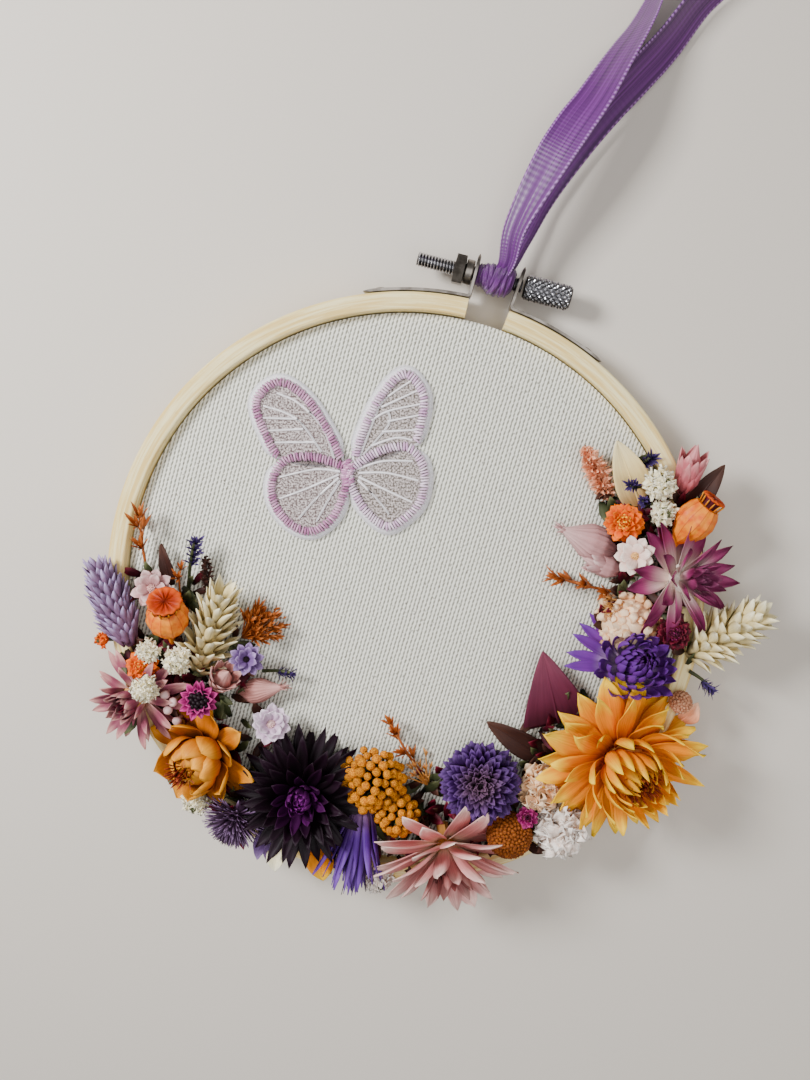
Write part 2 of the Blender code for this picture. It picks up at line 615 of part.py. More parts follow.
def stand_on_origin(hoop):
    """Moves the hoop so that the origin is under the middle of the whole piece."""
    bpy.context.view_layer.update()
    graph = bpy.context.evaluated_depsgraph_get()
    corners = []
    for obj in bpy.data.objects:
        if obj.type == "MESH" and not obj.hide_render:
            solid = obj.evaluated_get(graph)
            corners += [solid.matrix_world @ vert.co for vert in solid.data.vertices]
    for axis in (0, 1):
        along = [corner[axis] for corner in corners]
        hoop.location[axis] = -(min(along) + max(along)) / 2
    hoop.location.z = -min(corner.z for corner in corners)


def main():
    clear_scene()
    hoop = bpy.data.objects.new("hoop", None)
    bpy.context.scene.collection.objects.link(hoop)
    make_rings(hoop)
    make_canvas(hoop)
    make_screw(hoop)
    clearance = make_clearance(hoop)
    make_nut(hoop, clearance)
    for name, far, near, lug_direction in BRACKETS:
        make_bracket(name, far, near, lug_direction, hoop, clearance)
    make_ribbon(hoop, clearance)
    make_butterfly(hoop)
    make_flowers(hoop)
    stand_on_origin(hoop)


main()
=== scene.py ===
"""A hoop embroidery lying face up: canvas stretched in a beech hoop, a butterfly applique, a
crescent of dried flowers along the rim and a ribbon loop hitched round the tightening screw.

Lengths are millimetres from the hoop's centre at table height. settle() takes a finished piece
into the frame's metres. A petal's own course is kept in the attribute "course": how far along it
a point lies, how far across, a number of its own, and its rank from the rim (0) to the heart (1).
"""

import math
import random

import bmesh
import bpy
from mathutils import Matrix, Vector, noise


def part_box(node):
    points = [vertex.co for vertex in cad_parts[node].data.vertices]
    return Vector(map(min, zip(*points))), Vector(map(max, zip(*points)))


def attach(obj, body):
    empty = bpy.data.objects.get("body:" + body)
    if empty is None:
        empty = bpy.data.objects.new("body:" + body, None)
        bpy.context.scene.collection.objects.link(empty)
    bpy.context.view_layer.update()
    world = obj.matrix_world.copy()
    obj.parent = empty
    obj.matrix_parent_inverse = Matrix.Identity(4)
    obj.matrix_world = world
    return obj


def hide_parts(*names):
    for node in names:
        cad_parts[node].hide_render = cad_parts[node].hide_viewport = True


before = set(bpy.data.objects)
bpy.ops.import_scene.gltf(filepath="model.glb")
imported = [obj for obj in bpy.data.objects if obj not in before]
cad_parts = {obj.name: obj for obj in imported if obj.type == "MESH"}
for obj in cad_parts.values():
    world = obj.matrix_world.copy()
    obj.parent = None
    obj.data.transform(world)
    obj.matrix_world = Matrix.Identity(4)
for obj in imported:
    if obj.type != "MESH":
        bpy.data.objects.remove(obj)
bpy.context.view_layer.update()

MM = 0.001
RING_LOW, RING_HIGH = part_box("inner_ring")
CENTRE = Vector(((RING_LOW.x + RING_HIGH.x) / 2, (RING_LOW.y + RING_HIGH.y) / 2, RING_LOW.z))
TO_ROW = Matrix.Translation(CENTRE) @ Matrix.Scale(MM, 4)
COURSE = "course"
DEPTH = 1.35

# Hoop and cloth
HOOP_RADIUS = 78.0
BAND = 4.6
BAND_LOW = 2.0
BAND_TOP = 11.5
INNER_BAND = 4.4
INNER_TOP = 7.0
INNER_RADIUS = 71.8
CLOTH_RADIUS = 73.0
CLOTH_TOP = 8.2
CLOTH_UNDER = 7.4
SKIRT_LOW = 0.9
SPLIT_AT = 73.1
SPLIT = 7.8
BAND_ROUND = 0.7
INNER_ROUND = 0.5
RING_STEPS = 240
ON_CLOTH = 8.5
ON_RING = 11.8

# Weave: from one gap between the threads to the next along a row, and up a leaning column
ALONG_ROW = Vector((1.146, 0.432))
UP_COLUMN = Vector((0.40, 1.355))
CELL = ALONG_ROW.x * UP_COLUMN.y - ALONG_ROW.y * UP_COLUMN.x
RELIEF = 0.13

# Screw and brackets
SCREW_TIP = Vector((4.6, 86.5, 6.75))
SCREW_END = Vector((43.3, 76.0, 6.75))
SCREW_RADIUS = 1.9
THREAD_PITCH = 0.8
THREAD_DEPTH = 0.42
KNOB_LENGTH = 12.4
KNOB_RADIUS = 3.2
KNURL = 0.6
NUT_END = 14.5
NUT_LENGTH = 3.0
NUT_FLAT = 3.5
NUT_TURN = math.radians(30)
COLLAR_LENGTH = 2.0
COLLAR_RADIUS = 3.1
STEEL = 0.8
STRAP_LOW = 2.9
STRAP_HIGH = 10.6
LUG_LENGTH = 10.8
KNOT_AT = 20.6

# Camera
CAMERA_AT = Vector((13.8, 48.95, 250.2))
CAMERA_TILT = 8.0
CAMERA_PAN = -2.99
PICTURE_ANGLE = 60.0
SENSOR = 36.0

# Light
LIGHTS = (
    # name, place, size, watts
    ("key", (-300, 210, 330), 130, 3.4),
    ("fill", (260, -120, 420), 420, 0.9),
    ("top", (0, 60, 620), 500, 1.4),
)
SKY = (1.0, 0.97, 0.94, 1.0)
SKY_STRENGTH = 0.20


def srgb(red, green, blue):
    """A colour given as it looks on a screen, 0 to 255, as the linear values that shaders use.
    It is deepened a little, because the studio's tone curve lightens and greys what it shows.
    """
    values = []
    for level in (red, green, blue):
        share = level / 255
        level = share / 12.92 if share <= 0.04045 else ((share + 0.055) / 1.055) ** 2.4
        values.append(level ** DEPTH)
    return (*values, 1.0)


class Wire:
    """One value in a material. An operator on it adds the Math node that works it out."""

    def __init__(self, finish, socket):
        self.finish = finish
        self.socket = socket

    def maths(self, operation, *terms):
        return self.finish.node("ShaderNodeMath", {"operation": operation}, dict(enumerate(terms)))

    def __add__(self, other):
        return self.maths("ADD", self, other)

    def __radd__(self, other):
        return self.maths("ADD", other, self)

    def __sub__(self, other):
        return self.maths("SUBTRACT", self, other)

    def __rsub__(self, other):
        return self.maths("SUBTRACT", other, self)

    def __mul__(self, other):
        return self.maths("MULTIPLY", self, other)

    def __rmul__(self, other):
        return self.maths("MULTIPLY", other, self)

    def __truediv__(self, other):
        return self.maths("DIVIDE", self, other)

    def __pow__(self, other):
        return self.maths("POWER", self, other)

    def sine(self):
        return self.maths("SINE", self)

    def size(self):
        return self.maths("ABSOLUTE", self)

    def fraction(self):
        return self.maths("FRACT", self)

    def rise(self, low, high):
        """0 below low, 1 above high and a smooth step between them."""
        return self.finish.node(
            "ShaderNodeMapRange", {"interpolation_type": "SMOOTHSTEP"},
            {"Value": self, "From Min": low, "From Max": high},
        )


class Finish:
    """A material that is built up from a Principled BSDF."""

    def __init__(self, name, **constants):
        self.material = bpy.data.materials.new(name)
        self.material.use_nodes = True
        self.tree = self.material.node_tree
        self.shader = self.tree.nodes["Principled BSDF"]
        for socket, value in constants.items():
            self.shader.inputs[socket.replace("_", " ")].default_value = value

    def feed(self, socket, value):
        if isinstance(value, Wire):
            self.tree.links.new(value.socket, socket)
        else:
            socket.default_value = value

    def node(self, kind, settings, inputs, out=0):
        made = self.tree.nodes.new(kind)
        for name, value in settings.items():
            setattr(made, name, value)
        for name, value in inputs.items():
            self.feed(made.inputs[name], value)
        return Wire(self, made.outputs[out])

    def set(self, **inputs):
        for name, value in inputs.items():
            self.feed(self.shader.inputs[name.replace("_", " ")], value)

    def mix(self, share, first, second):
        settings = {"data_type": "RGBA"}
        return self.node("ShaderNodeMix", settings, {0: share, 6: first, 7: second}, out=2)

    def shaded(self, colour, level):
        """A colour made lighter or darker by a level about 1."""
        return self.node("ShaderNodeVectorMath", {"operation": "SCALE"}, {0: colour, "Scale": level})

    def vector(self, x, y, z):
        return self.node("ShaderNodeCombineXYZ", {}, {0: x, 1: y, 2: z})

    def parts(self, vector):
        inputs = {0: vector}
        split = self.node("ShaderNodeSeparateXYZ", {}, inputs).socket.node
        return [Wire(self, output) for output in split.outputs]

    def millimetres(self):
        """The point in millimetres from the hoop's centre."""
        point = self.node("ShaderNodeTexCoord", {}, {}, out="Object")
        scale = 1 / MM
        inputs = {"Vector": point, "Location": -CENTRE * scale, "Scale": (scale, scale, scale)}
        return self.node("ShaderNodeMapping", {}, inputs)

    def course(self):
        """Along, across, the petal's own number and its rank."""
        found = self.node("ShaderNodeAttribute", {"attribute_name": COURSE}, {}, out="Vector")
        rank = Wire(self, found.socket.node.outputs["Alpha"])
        return [*self.parts(found), rank]

    def noise(self, vector, scale, detail=2.0):
        return self.node("ShaderNodeTexNoise", {}, {"Vector": vector, "Scale": scale, "Detail": detail})

    def cells(self, vector, scale):
        return self.node("ShaderNodeTexVoronoi", {}, {"Vector": vector, "Scale": scale})

    def bump(self, height, strength, distance):
        inputs = {"Height": height, "Strength": strength, "Distance": distance * MM}
        self.set(Normal=self.node("ShaderNodeBump", {}, inputs))


def beech_finish():
    """Pale bare beech, its grain running round the ring."""
    finish = Finish("beech", Roughness=0.62, Specular_IOR_Level=0.3)
    x, y, z = finish.parts(finish.millimetres())
    around = x.maths("ARCTAN2", y, x) * HOOP_RADIUS
    out = (x * x + y * y) ** 0.5
    grain = finish.noise(finish.vector(around * 0.06, out * 1.3, z * 1.1), 1.0, 5.0)
    pores = finish.noise(finish.vector(around * 0.35, out * 6.0, z * 6.0), 1.0, 2.0)
    colour = finish.mix(grain.rise(0.34, 0.66), srgb(240, 215, 152), srgb(255, 244, 200))
    colour = finish.mix(pores.rise(0.60, 0.74) * 0.4, colour, srgb(212, 176, 112))
    finish.set(Base_Color=colour)
    finish.bump(pores + grain * 0.5, 0.35, 0.12)
    return finish.material


def canvas_finish():
    """Unbleached canvas: light leaning stitches, painted shade grey in the gaps between them, and a few
    dark flecks.
    """
    finish = Finish("duck", Roughness=0.95, Specular_IOR_Level=0.15, Sheen_Weight=0.15)
    point = finish.millimetres()
    x, y, z = finish.parts(point)
    wander = finish.noise(point, 0.5, 3.0)
    column = (x * UP_COLUMN.y - y * UP_COLUMN.x) / CELL + (wander - 0.5) * 0.35
    row = (y * ALONG_ROW.x - x * ALONG_ROW.y) / CELL + (wander - 0.5) * 0.35
    beside = (column + 0.5).fraction() * 2 - 1
    step = (row + 0.5).fraction() * 2 - 1
    pit = 1 - (beside * beside * 2.6 + step * step * 0.8).rise(0.05, 1.3)
    groove = 1 - beside.size().rise(0.10, 0.65)
    uneven = finish.noise(point, 1.1, 2.0)
    # Painted shade: the gaps between the threads and the grooves between the columns are darkened.
    dark = (pit * 0.75 + groove * 0.28) * (0.45 + uneven * 0.9)
    thread = finish.noise(finish.vector(x * 5 - y, y * 1.5 + x, z), 1.6, 2.0)
    slub = finish.noise(finish.vector(column * 0.6, y * 0.05, 0.0), 2.0, 2.0)
    fleck = finish.noise(point, 1.35, 0.0).rise(0.735, 0.79)
    colour = finish.mix(dark.rise(0.05, 0.95), srgb(248, 247, 238), srgb(162, 161, 150))
    colour = finish.shaded(colour, 0.86 + thread * 0.16 + slub * 0.12)
    colour = finish.mix(fleck * 0.6, colour, srgb(96, 78, 60))
    finish.set(Base_Color=colour)
    finish.bump(thread * 0.3 - pit, 0.6, 0.18)
    return finish.material


def steel_finish():
    finish = Finish("steel", Metallic=1.0, Roughness=0.3)
    point = finish.millimetres()
    x, y, z = finish.parts(point)
    brushed = finish.noise(finish.vector(x * 0.4, y * 0.4, z * 9), 2.0, 3.0)
    dull = finish.noise(point, 0.35, 3.0)
    finish.set(
        Base_Color=finish.mix(dull.rise(0.3, 0.7), srgb(128, 122, 116), srgb(178, 172, 166)),
        Roughness=0.24 + brushed * 0.22,
    )
    finish.bump(brushed, 0.12, 0.05)
    return finish.material


def nickel_finish():
    """Bright plate, dull down in the thread and between the studs of the knurl, where painted shade
    darkens it.
    """
    finish = Finish("nickel", Metallic=1.0, Roughness=0.2)
    point = finish.millimetres()
    axis = (SCREW_END - SCREW_TIP).normalized()
    settings = {"operation": "SUBTRACT"}
    from_tip = finish.node("ShaderNodeVectorMath", settings, {0: point, 1: SCREW_TIP})
    settings = {"operation": "CROSS_PRODUCT"}
    off = finish.node("ShaderNodeVectorMath", settings, {0: from_tip, 1: axis})
    radius = finish.node("ShaderNodeVectorMath", {"operation": "LENGTH"}, {0: off}, out="Value")
    thread = radius.rise(SCREW_RADIUS - THREAD_DEPTH, SCREW_RADIUS) * (1 - radius.rise(2.2, 2.4))
    crest = thread + radius.rise(KNOB_RADIUS - KNURL * 1.1, KNOB_RADIUS - 0.05)
    dull = finish.noise(point, 0.8, 3.0)
    # Painted shade: the colour runs from dark in the thread's and the knurl's hollows to bright on their
    # crests.
    colour = finish.mix(crest, srgb(70, 66, 66), srgb(232, 232, 236))
    finish.set(Base_Color=finish.shaded(colour, 0.8 + dull * 0.3), Roughness=0.36 - crest * 0.2)
    return finish.material


def satin_finish():
    """Woven satin: fine crosswise ribs, painted sheen in lighter and darker streaks along the ribbon and a
    finer selvedge.
    """
    finish = Finish(
        "satin", Roughness=0.38, Specular_IOR_Level=0.6, Sheen_Weight=0.35, Sheen_Roughness=0.35,
    )
    along, across, chance, rank = finish.course()
    streak = finish.noise(finish.vector(along * 3.0, across * 26, chance), 1.0, 3.0)
    ribs = (along * 1500).sine()
    edge = ((across - 0.5).size() * 2).rise(0.86, 0.93)
    # The lengthwise streaks are painted sheen: lighter and darker purple along the ribbon.
    colour = finish.mix(streak.rise(0.3, 0.75), srgb(90, 30, 104), srgb(144, 78, 160))
    colour = finish.mix(edge * (ribs * 0.5 + 0.5), colour, srgb(188, 144, 204))
    finish.set(Base_Color=colour, Roughness=0.30 + streak * 0.22)
    finish.bump(ribs * 0.25 + streak * 0.6 + edge * 0.4, 0.5, 0.09)
    return finish.material


def thread_finish(name, light, dark):
    """Embroidery thread: each stitch its own tone, with fine twisted strands, and painted shade down each
    strand's flanks.
    """
    finish = Finish(name, Roughness=0.42, Specular_IOR_Level=0.5, Sheen_Weight=0.4)
    along, across, chance, rank = finish.course()
    strand = finish.noise(finish.vector(across * 9, along * 2, chance * 30), 1.0, 2.0)
    colour = finish.mix(chance, dark, light)
    # Painted shade: each strand is darker down its flanks than along its lit crest.
    flank_shade = (across - 0.75).size().rise(0.10, 0.30)
    colour = finish.shaded(colour, 0.90 + strand * 0.36 - flank_shade * 0.45)
    finish.set(Base_Color=colour)
    finish.bump(strand, 0.4, 0.06)
    return finish.material


def organza_finish(name, tint, cover):
    """Sheer net: pale crossing threads with the canvas showing between them."""
    finish = Finish(name, Roughness=0.6, Specular_IOR_Level=0.3, Sheen_Weight=0.3)
    x, y, z = finish.parts(finish.millimetres())
    out = finish.course()[0]
    margin = out.rise(0.25, 0.5)
    edge = out.rise(0.6, 1.0)
    warp = (x * 9 + y * 2.4).sine()
    weft = (y * 9 - x * 2.4).sine()
    speck = finish.noise(finish.vector(x, y, 0.0), 2.0, 2.0)
    net = (warp.size() + weft.size()) * 0.2 + (speck - 0.5) * 4.6 + 0.36
    colour = finish.mix(net.rise(0.1, 1.0), tint, srgb(230, 220, 218))
    finish.set(
        Base_Color=finish.mix(margin, colour, srgb(252, 250, 254)),
        Alpha=cover + (speck - 0.5).size() * 1.6 + margin * 0.2 - edge * 0.5,
    )
    return finish.material


def petal_finish(name, foot, body, tip, heart, foot_reach):
    """A dry papery petal: its colours from foot to tip and to the heart's, with fine veins."""
    finish = Finish(name, Roughness=0.52, Specular_IOR_Level=0.22)
    along, across, chance, rank = finish.course()
    fibre = finish.noise(finish.vector(across * 16, along * 1.4, chance * 50), 1.0, 3.0)
    blotch = finish.noise(finish.vector(across * 2, along * 2.5, chance * 90), 1.0, 2.0)
    colour = finish.mix(along.rise(0.0, foot_reach), foot, body)
    colour = finish.mix((along + (blotch - 0.5) * 0.5).rise(0.55, 1.0), colour, tip)
    colour = finish.mix(rank.rise(0.55, 1.0), colour, heart)
    level = 1 + (fibre - 0.5) * 0.68 + (chance - 0.5) * 0.34 + (blotch - 0.5) * 0.3
    finish.set(Base_Color=finish.shaded(colour, level))
    finish.bump(fibre, 0.5, 0.12)
    return finish.material


def grain_finish(name, low, high):
    """A rough or granular dry surface, mottled between two colours."""
    finish = Finish(name, Roughness=0.75, Specular_IOR_Level=0.3)
    point = finish.millimetres()
    mottle = finish.noise(point, 2.2, 4.0)
    grit = finish.cells(point, 3.52)
    finish.set(Base_Color=finish.mix(mottle.rise(0.3, 0.7) * (1 - grit * 0.5), low, high))
    finish.bump(mottle - grit * 0.6, 0.6, 0.2)
    return finish.material


PETALS = {
    # name: foot, body, tip, heart and, where the foot's colour reaches far, how far
    "gold": ((214, 118, 4), (242, 166, 0), (252, 216, 66), (204, 108, 14)),
    "amber": ((128, 58, 6), (202, 130, 18), (234, 176, 66), (176, 104, 18)),
    "mauve": ((218, 182, 170), (166, 102, 120), (214, 170, 164), (88, 34, 54), 0.5),
    "plum": ((10, 3, 9), (36, 8, 30), (54, 16, 48), (160, 62, 164)),
    "violet": ((222, 200, 226), (138, 76, 168), (124, 72, 160), (104, 44, 124), 0.5),
    "blue": ((40, 18, 48), (78, 40, 102), (124, 90, 152), (134, 104, 128)),
    "iris": ((160, 126, 164), (100, 52, 142), (148, 108, 192), (72, 34, 98)),
    "pink": ((250, 230, 212), (226, 168, 166), (248, 220, 212), (170, 96, 94)),
    "magenta": ((254, 244, 234), (180, 88, 138), (112, 24, 76), (160, 98, 132), 0.7),
    "cerise": ((96, 14, 70), (164, 34, 116), (206, 92, 160), (70, 10, 50)),
    "ivory": ((214, 202, 156), (250, 242, 212), (255, 250, 232), (232, 220, 176)),
    "milk": ((214, 196, 180), (246, 234, 226), (254, 248, 242), (232, 214, 200)),
    "rose": ((150, 84, 92), (206, 130, 138), (232, 176, 176), (170, 96, 104)),
    "dark": ((14, 6, 10), (30, 12, 24), (50, 20, 40), (20, 8, 14)),
    "cream": ((152, 130, 84), (230, 216, 172), (250, 244, 216), (170, 150, 104)),
    "creampink": ((236, 196, 180), (248, 222, 212), (254, 240, 230), (226, 196, 160)),
    "lilac": ((116, 86, 108), (152, 124, 152), (198, 182, 218), (124, 98, 124)),
    "dusty": ((150, 92, 96), (204, 164, 164), (232, 206, 204), (176, 106, 106)),
    "pearl": ((176, 140, 168), (214, 190, 210), (238, 224, 236), (190, 130, 150)),
    "heather": ((84, 50, 100), (140, 112, 160), (184, 160, 202), (70, 40, 90)),
    "rust": ((112, 76, 44), (188, 116, 60), (220, 152, 92), (140, 92, 54)),
    "blush": ((206, 156, 118), (246, 208, 168), (254, 230, 202), (230, 184, 144)),
    "peach": ((222, 152, 116), (242, 184, 150), (252, 214, 188), (230, 168, 134)),
    "straw": ((150, 106, 56), (214, 160, 96), (240, 204, 150), (190, 136, 80)),
    "shell": ((130, 84, 76), (200, 152, 146), (228, 190, 184), (160, 104, 100)),
    "orange": ((196, 76, 0), (242, 122, 0), (252, 148, 0), (222, 98, 0)),
    "bristle": ((58, 40, 56), (104, 78, 104), (152, 128, 160), (90, 66, 92)),
    "lavender": ((58, 48, 70), (86, 68, 118), (124, 104, 160), (62, 54, 88)),
    "wine": ((40, 10, 22), (92, 22, 46), (150, 50, 78), (70, 16, 36)),
    "plumleaf": ((100, 48, 66), (130, 68, 92), (148, 86, 106), (114, 60, 80)),
    "brownleaf": ((52, 34, 30), (84, 56, 50), (112, 80, 68), (70, 46, 42)),
    "nudeleaf": ((238, 190, 134), (255, 234, 180), (255, 242, 200), (246, 212, 160)),
    "crown": ((132, 44, 2), (182, 72, 0), (218, 108, 10), (112, 38, 8)),
    "stamen": ((92, 30, 22), (136, 54, 34), (188, 100, 60), (100, 36, 26)),
    "green": ((58, 64, 44), (92, 98, 70), (130, 134, 100), (70, 76, 52)),
}


def finished_in(name):
    """The petal finish of that palette, made once. The frame's own materials have slot names."""
    full = "petal_" + name
    if full not in bpy.data.materials:
        colours = [srgb(*colour) for colour in PETALS[name][:4]]
        foot_reach = PETALS[name][4] if len(PETALS[name]) > 4 else 0.42
        petal_finish(full, *colours, foot_reach)
    return bpy.data.materials[full]


def blank():
    bm = bmesh.new()
    bm.verts.layers.float_color.new(COURSE)
    return bm


def round_point(radius, angle, height):
    return Vector((radius * math.cos(angle), radius * math.sin(angle), height))


def at_end(a):
    """Whether a, along a closed body, is at one of its two poles."""
    return a < 1e-6 or a > 1 - 1e-6


def patch(bm, across, along, shape, chance=0.5, rank=0.0, wrap=False):
    """A grid laid where shape(s, a) says: s from -1 to 1 across and a from 0 to 1 along."""
    layer = bm.verts.layers.float_color[COURSE]
    verts = bmesh.ops.create_grid(bm, x_segments=across, y_segments=along, size=1)["verts"]
    for vert in verts:
        s = vert.co.x
        a = (vert.co.y + 1) / 2
        vert[layer] = (a, (s + 1) / 2, chance, rank)
        vert.co = shape(s, a)
    if wrap:
        bmesh.ops.remove_doubles(bm, verts=verts, dist=0.0005)
    return verts


def turned(bm, place, rows, sides=16, along=None, ribs=0, rib_depth=0.0):
    """A closed round body along a place's Z from rows of (height, radius), with soft ribs if asked."""
    last = len(rows) - 1

    def shape(s, a):
        at = min(a * last, last - 1e-6)
        row = int(at)
        share = at - row
        height = rows[row][0] * (1 - share) + rows[row + 1][0] * share
        radius = rows[row][1] * (1 - share) + rows[row + 1][1] * share
        angle = math.pi * s
        radius *= 1 - rib_depth * (0.5 - 0.5 * math.cos(ribs * angle))
        return place @ round_point(radius, angle, height)

    return patch(bm, sides, along or last, shape, wrap=True)


def tube(bm, points, start, end, sides=6, chance=0.5):
    """A closed tapering strand through the points."""
    last = len(points) - 1
    steps = last + 2

    def shape(s, a):
        row = min(max(round(a * steps) - 1, 0), last)
        point = points[row]
        run = points[min(row + 1, last)] - points[max(row - 1, 0)]
        side = run.orthogonal().normalized()
        other = run.normalized().cross(side)
        radius = start + (end - start) * row / last
        if at_end(a):
            radius = 0.0
        angle = math.pi * s
        return point + side * radius * math.cos(angle) + other * radius * math.sin(angle)

    return patch(bm, sides, steps, shape, chance, wrap=True)


def curve_through(points, steps):
    """Points on a smooth curve through the given ones."""
    last = len(points) - 1
    found = []
    for i in range(last):
        before, start = points[max(i - 1, 0)], points[i]
        end, after = points[i + 1], points[min(i + 2, last)]
        for step in range(steps):
            t = step / steps
            rise = (end - before) + t * (2 * before - 5 * start + 4 * end - after)
            rise = rise + t * t * (3 * (start - end) + after - before)
            found.append(start + 0.5 * t * rise)
    return found + [points[last]]


def settle(bm, name, finishes, stands_for=(), thickness=0.0, sharp=50):
    """A finished piece: in the frame's metres, riding on the body and standing for its nodes."""
    bmesh.ops.recalc_face_normals(bm, faces=bm.faces)
    bmesh.ops.transform(bm, matrix=TO_ROW, verts=bm.verts)
    mesh = bpy.data.meshes.new(name)
    bm.to_mesh(mesh)
    bm.free()
    mesh.shade_smooth()
    mesh.set_sharp_from_angle(angle=math.radians(sharp))
    for finish in finishes:
        mesh.materials.append(finish)
    piece = bpy.data.objects.new(name, mesh)
    bpy.context.scene.collection.objects.link(piece)
    if thickness:
        shell = piece.modifiers.new("thickness", "SOLIDIFY")
        shell.thickness = thickness * MM
        shell.offset = 0
    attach(piece, "root")
    if stands_for and stands_for[0] not in TRIMS:
        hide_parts(*stands_for)
    return piece


def standing(foot, tip):
    """A place whose Z runs from a foot to a tip."""
    foot, tip = Vector(foot), Vector(tip)
    facing = (tip - foot).to_track_quat("Z", "Y").to_matrix().to_4x4()
    return Matrix.Translation(foot) @ facing


def bract(bm, place, turn, length, width, out, up, opening, curl, cup, chance, rank,
          point=0.8, ruffle=0.0, twist=0.0, along=6, across=4):
    """A petal that starts out from a spine, opens at its foot and bends on by curl to its tip."""
    here = place @ Matrix.Rotation(turn, 4, "Z")
    first = math.radians(opening)
    bend = math.radians(curl) or 1e-4
    lean = math.radians(twist)
    widest = 0.56

    def shape(s, a):
        angle = first + bend * a
        x = out + length * (math.cos(first) - math.cos(angle)) / bend
        z = up + length * (math.sin(angle) - math.sin(first)) / bend
        if a < widest:
            spread = 0.42 + 0.58 * math.sin(math.pi / 2 * a / widest)
        else:
            spread = max(math.cos(math.pi / 2 * (a - widest) / (1 - widest)), 0) ** point
        half = width / 2 * max(spread, 0.03)
        lift = cup * half * s * s
        lift += ruffle * width * math.sin(7 * a + 40 * chance) * s * a
        side = s * half * math.cos(lean * a)
        lift += s * half * math.sin(lean * a)
        return here @ Vector((x - lift * math.cos(angle), side, z + lift * math.sin(angle)))

    return patch(bm, across, along, shape, chance, rank)


def between(rows, t):
    """The row at t, from 0 to 1 through evenly spaced rows of numbers."""
    at = min(t * (len(rows) - 1), len(rows) - 1.001)
    row = int(at)
    share = at - row
    return [a * (1 - share) + b * share for a, b in zip(rows[row], rows[row + 1])]


GOLDEN_TURN = math.radians(137.508)


def head(bm, place, radius, height, count, habit, chance, point=0.8, ruffle=0.0,
         along=6, across=4, uneven=1.0):
    """Petals in a spiral from the heart out. Lengths are shares of the radius, ups of the height."""
    for i in range(count):
        t = i / (count - 1)
        length, width, out, up, opening, curl, cup = between(habit, t)
        bract(
            bm, place, i * GOLDEN_TURN + chance.uniform(-0.09, 0.09) * uneven,
            length * radius * chance.uniform(1 - 0.12 * uneven, 1 + 0.08 * uneven),
            width * radius * chance.uniform(0.85, 1.12), out * radius, up * height,
            opening + chance.uniform(-7, 7) * uneven, curl + chance.uniform(-10, 10) * uneven, cup,
            chance.random(), 1 - t, point, ruffle, chance.uniform(-14, 14) * uneven, along, across,
        )


def stamens(bm, place, radius, height, count, length, width, spread, chance):
    """Fine upright threads in the heart of a flower."""
    for i in range(count):
        t = math.sqrt((i + 0.5) / count)
        bract(
            bm, place, i * GOLDEN_TURN, length * chance.uniform(0.7, 1.2), width, radius * t * 0.8,
            height, spread * t + chance.uniform(-10, 14), chance.uniform(-45, 30), 0.2,
            chance.random(), 0.3, along=4, across=1,
        )


def calyx(bm, place, radius, height, foot):
    """The stalk and the cup under a flower."""
    rows = (
        (0, 0), (0, foot), (height * 0.3, foot), (height * 0.7, radius * 0.8),
        (height * 0.9, radius), (height, radius * 0.8), (height, 0),
    )
    turned(bm, place, rows, sides=12, ribs=6, rib_depth=0.12)


def make_stalk(name, finish, place, radius, height, foot=1.6):
    """A flower's stalk and cup as a piece of their own."""
    bm = blank()
    calyx(bm, place, radius, height, foot)
    settle(bm, name, [finished_in(finish)])


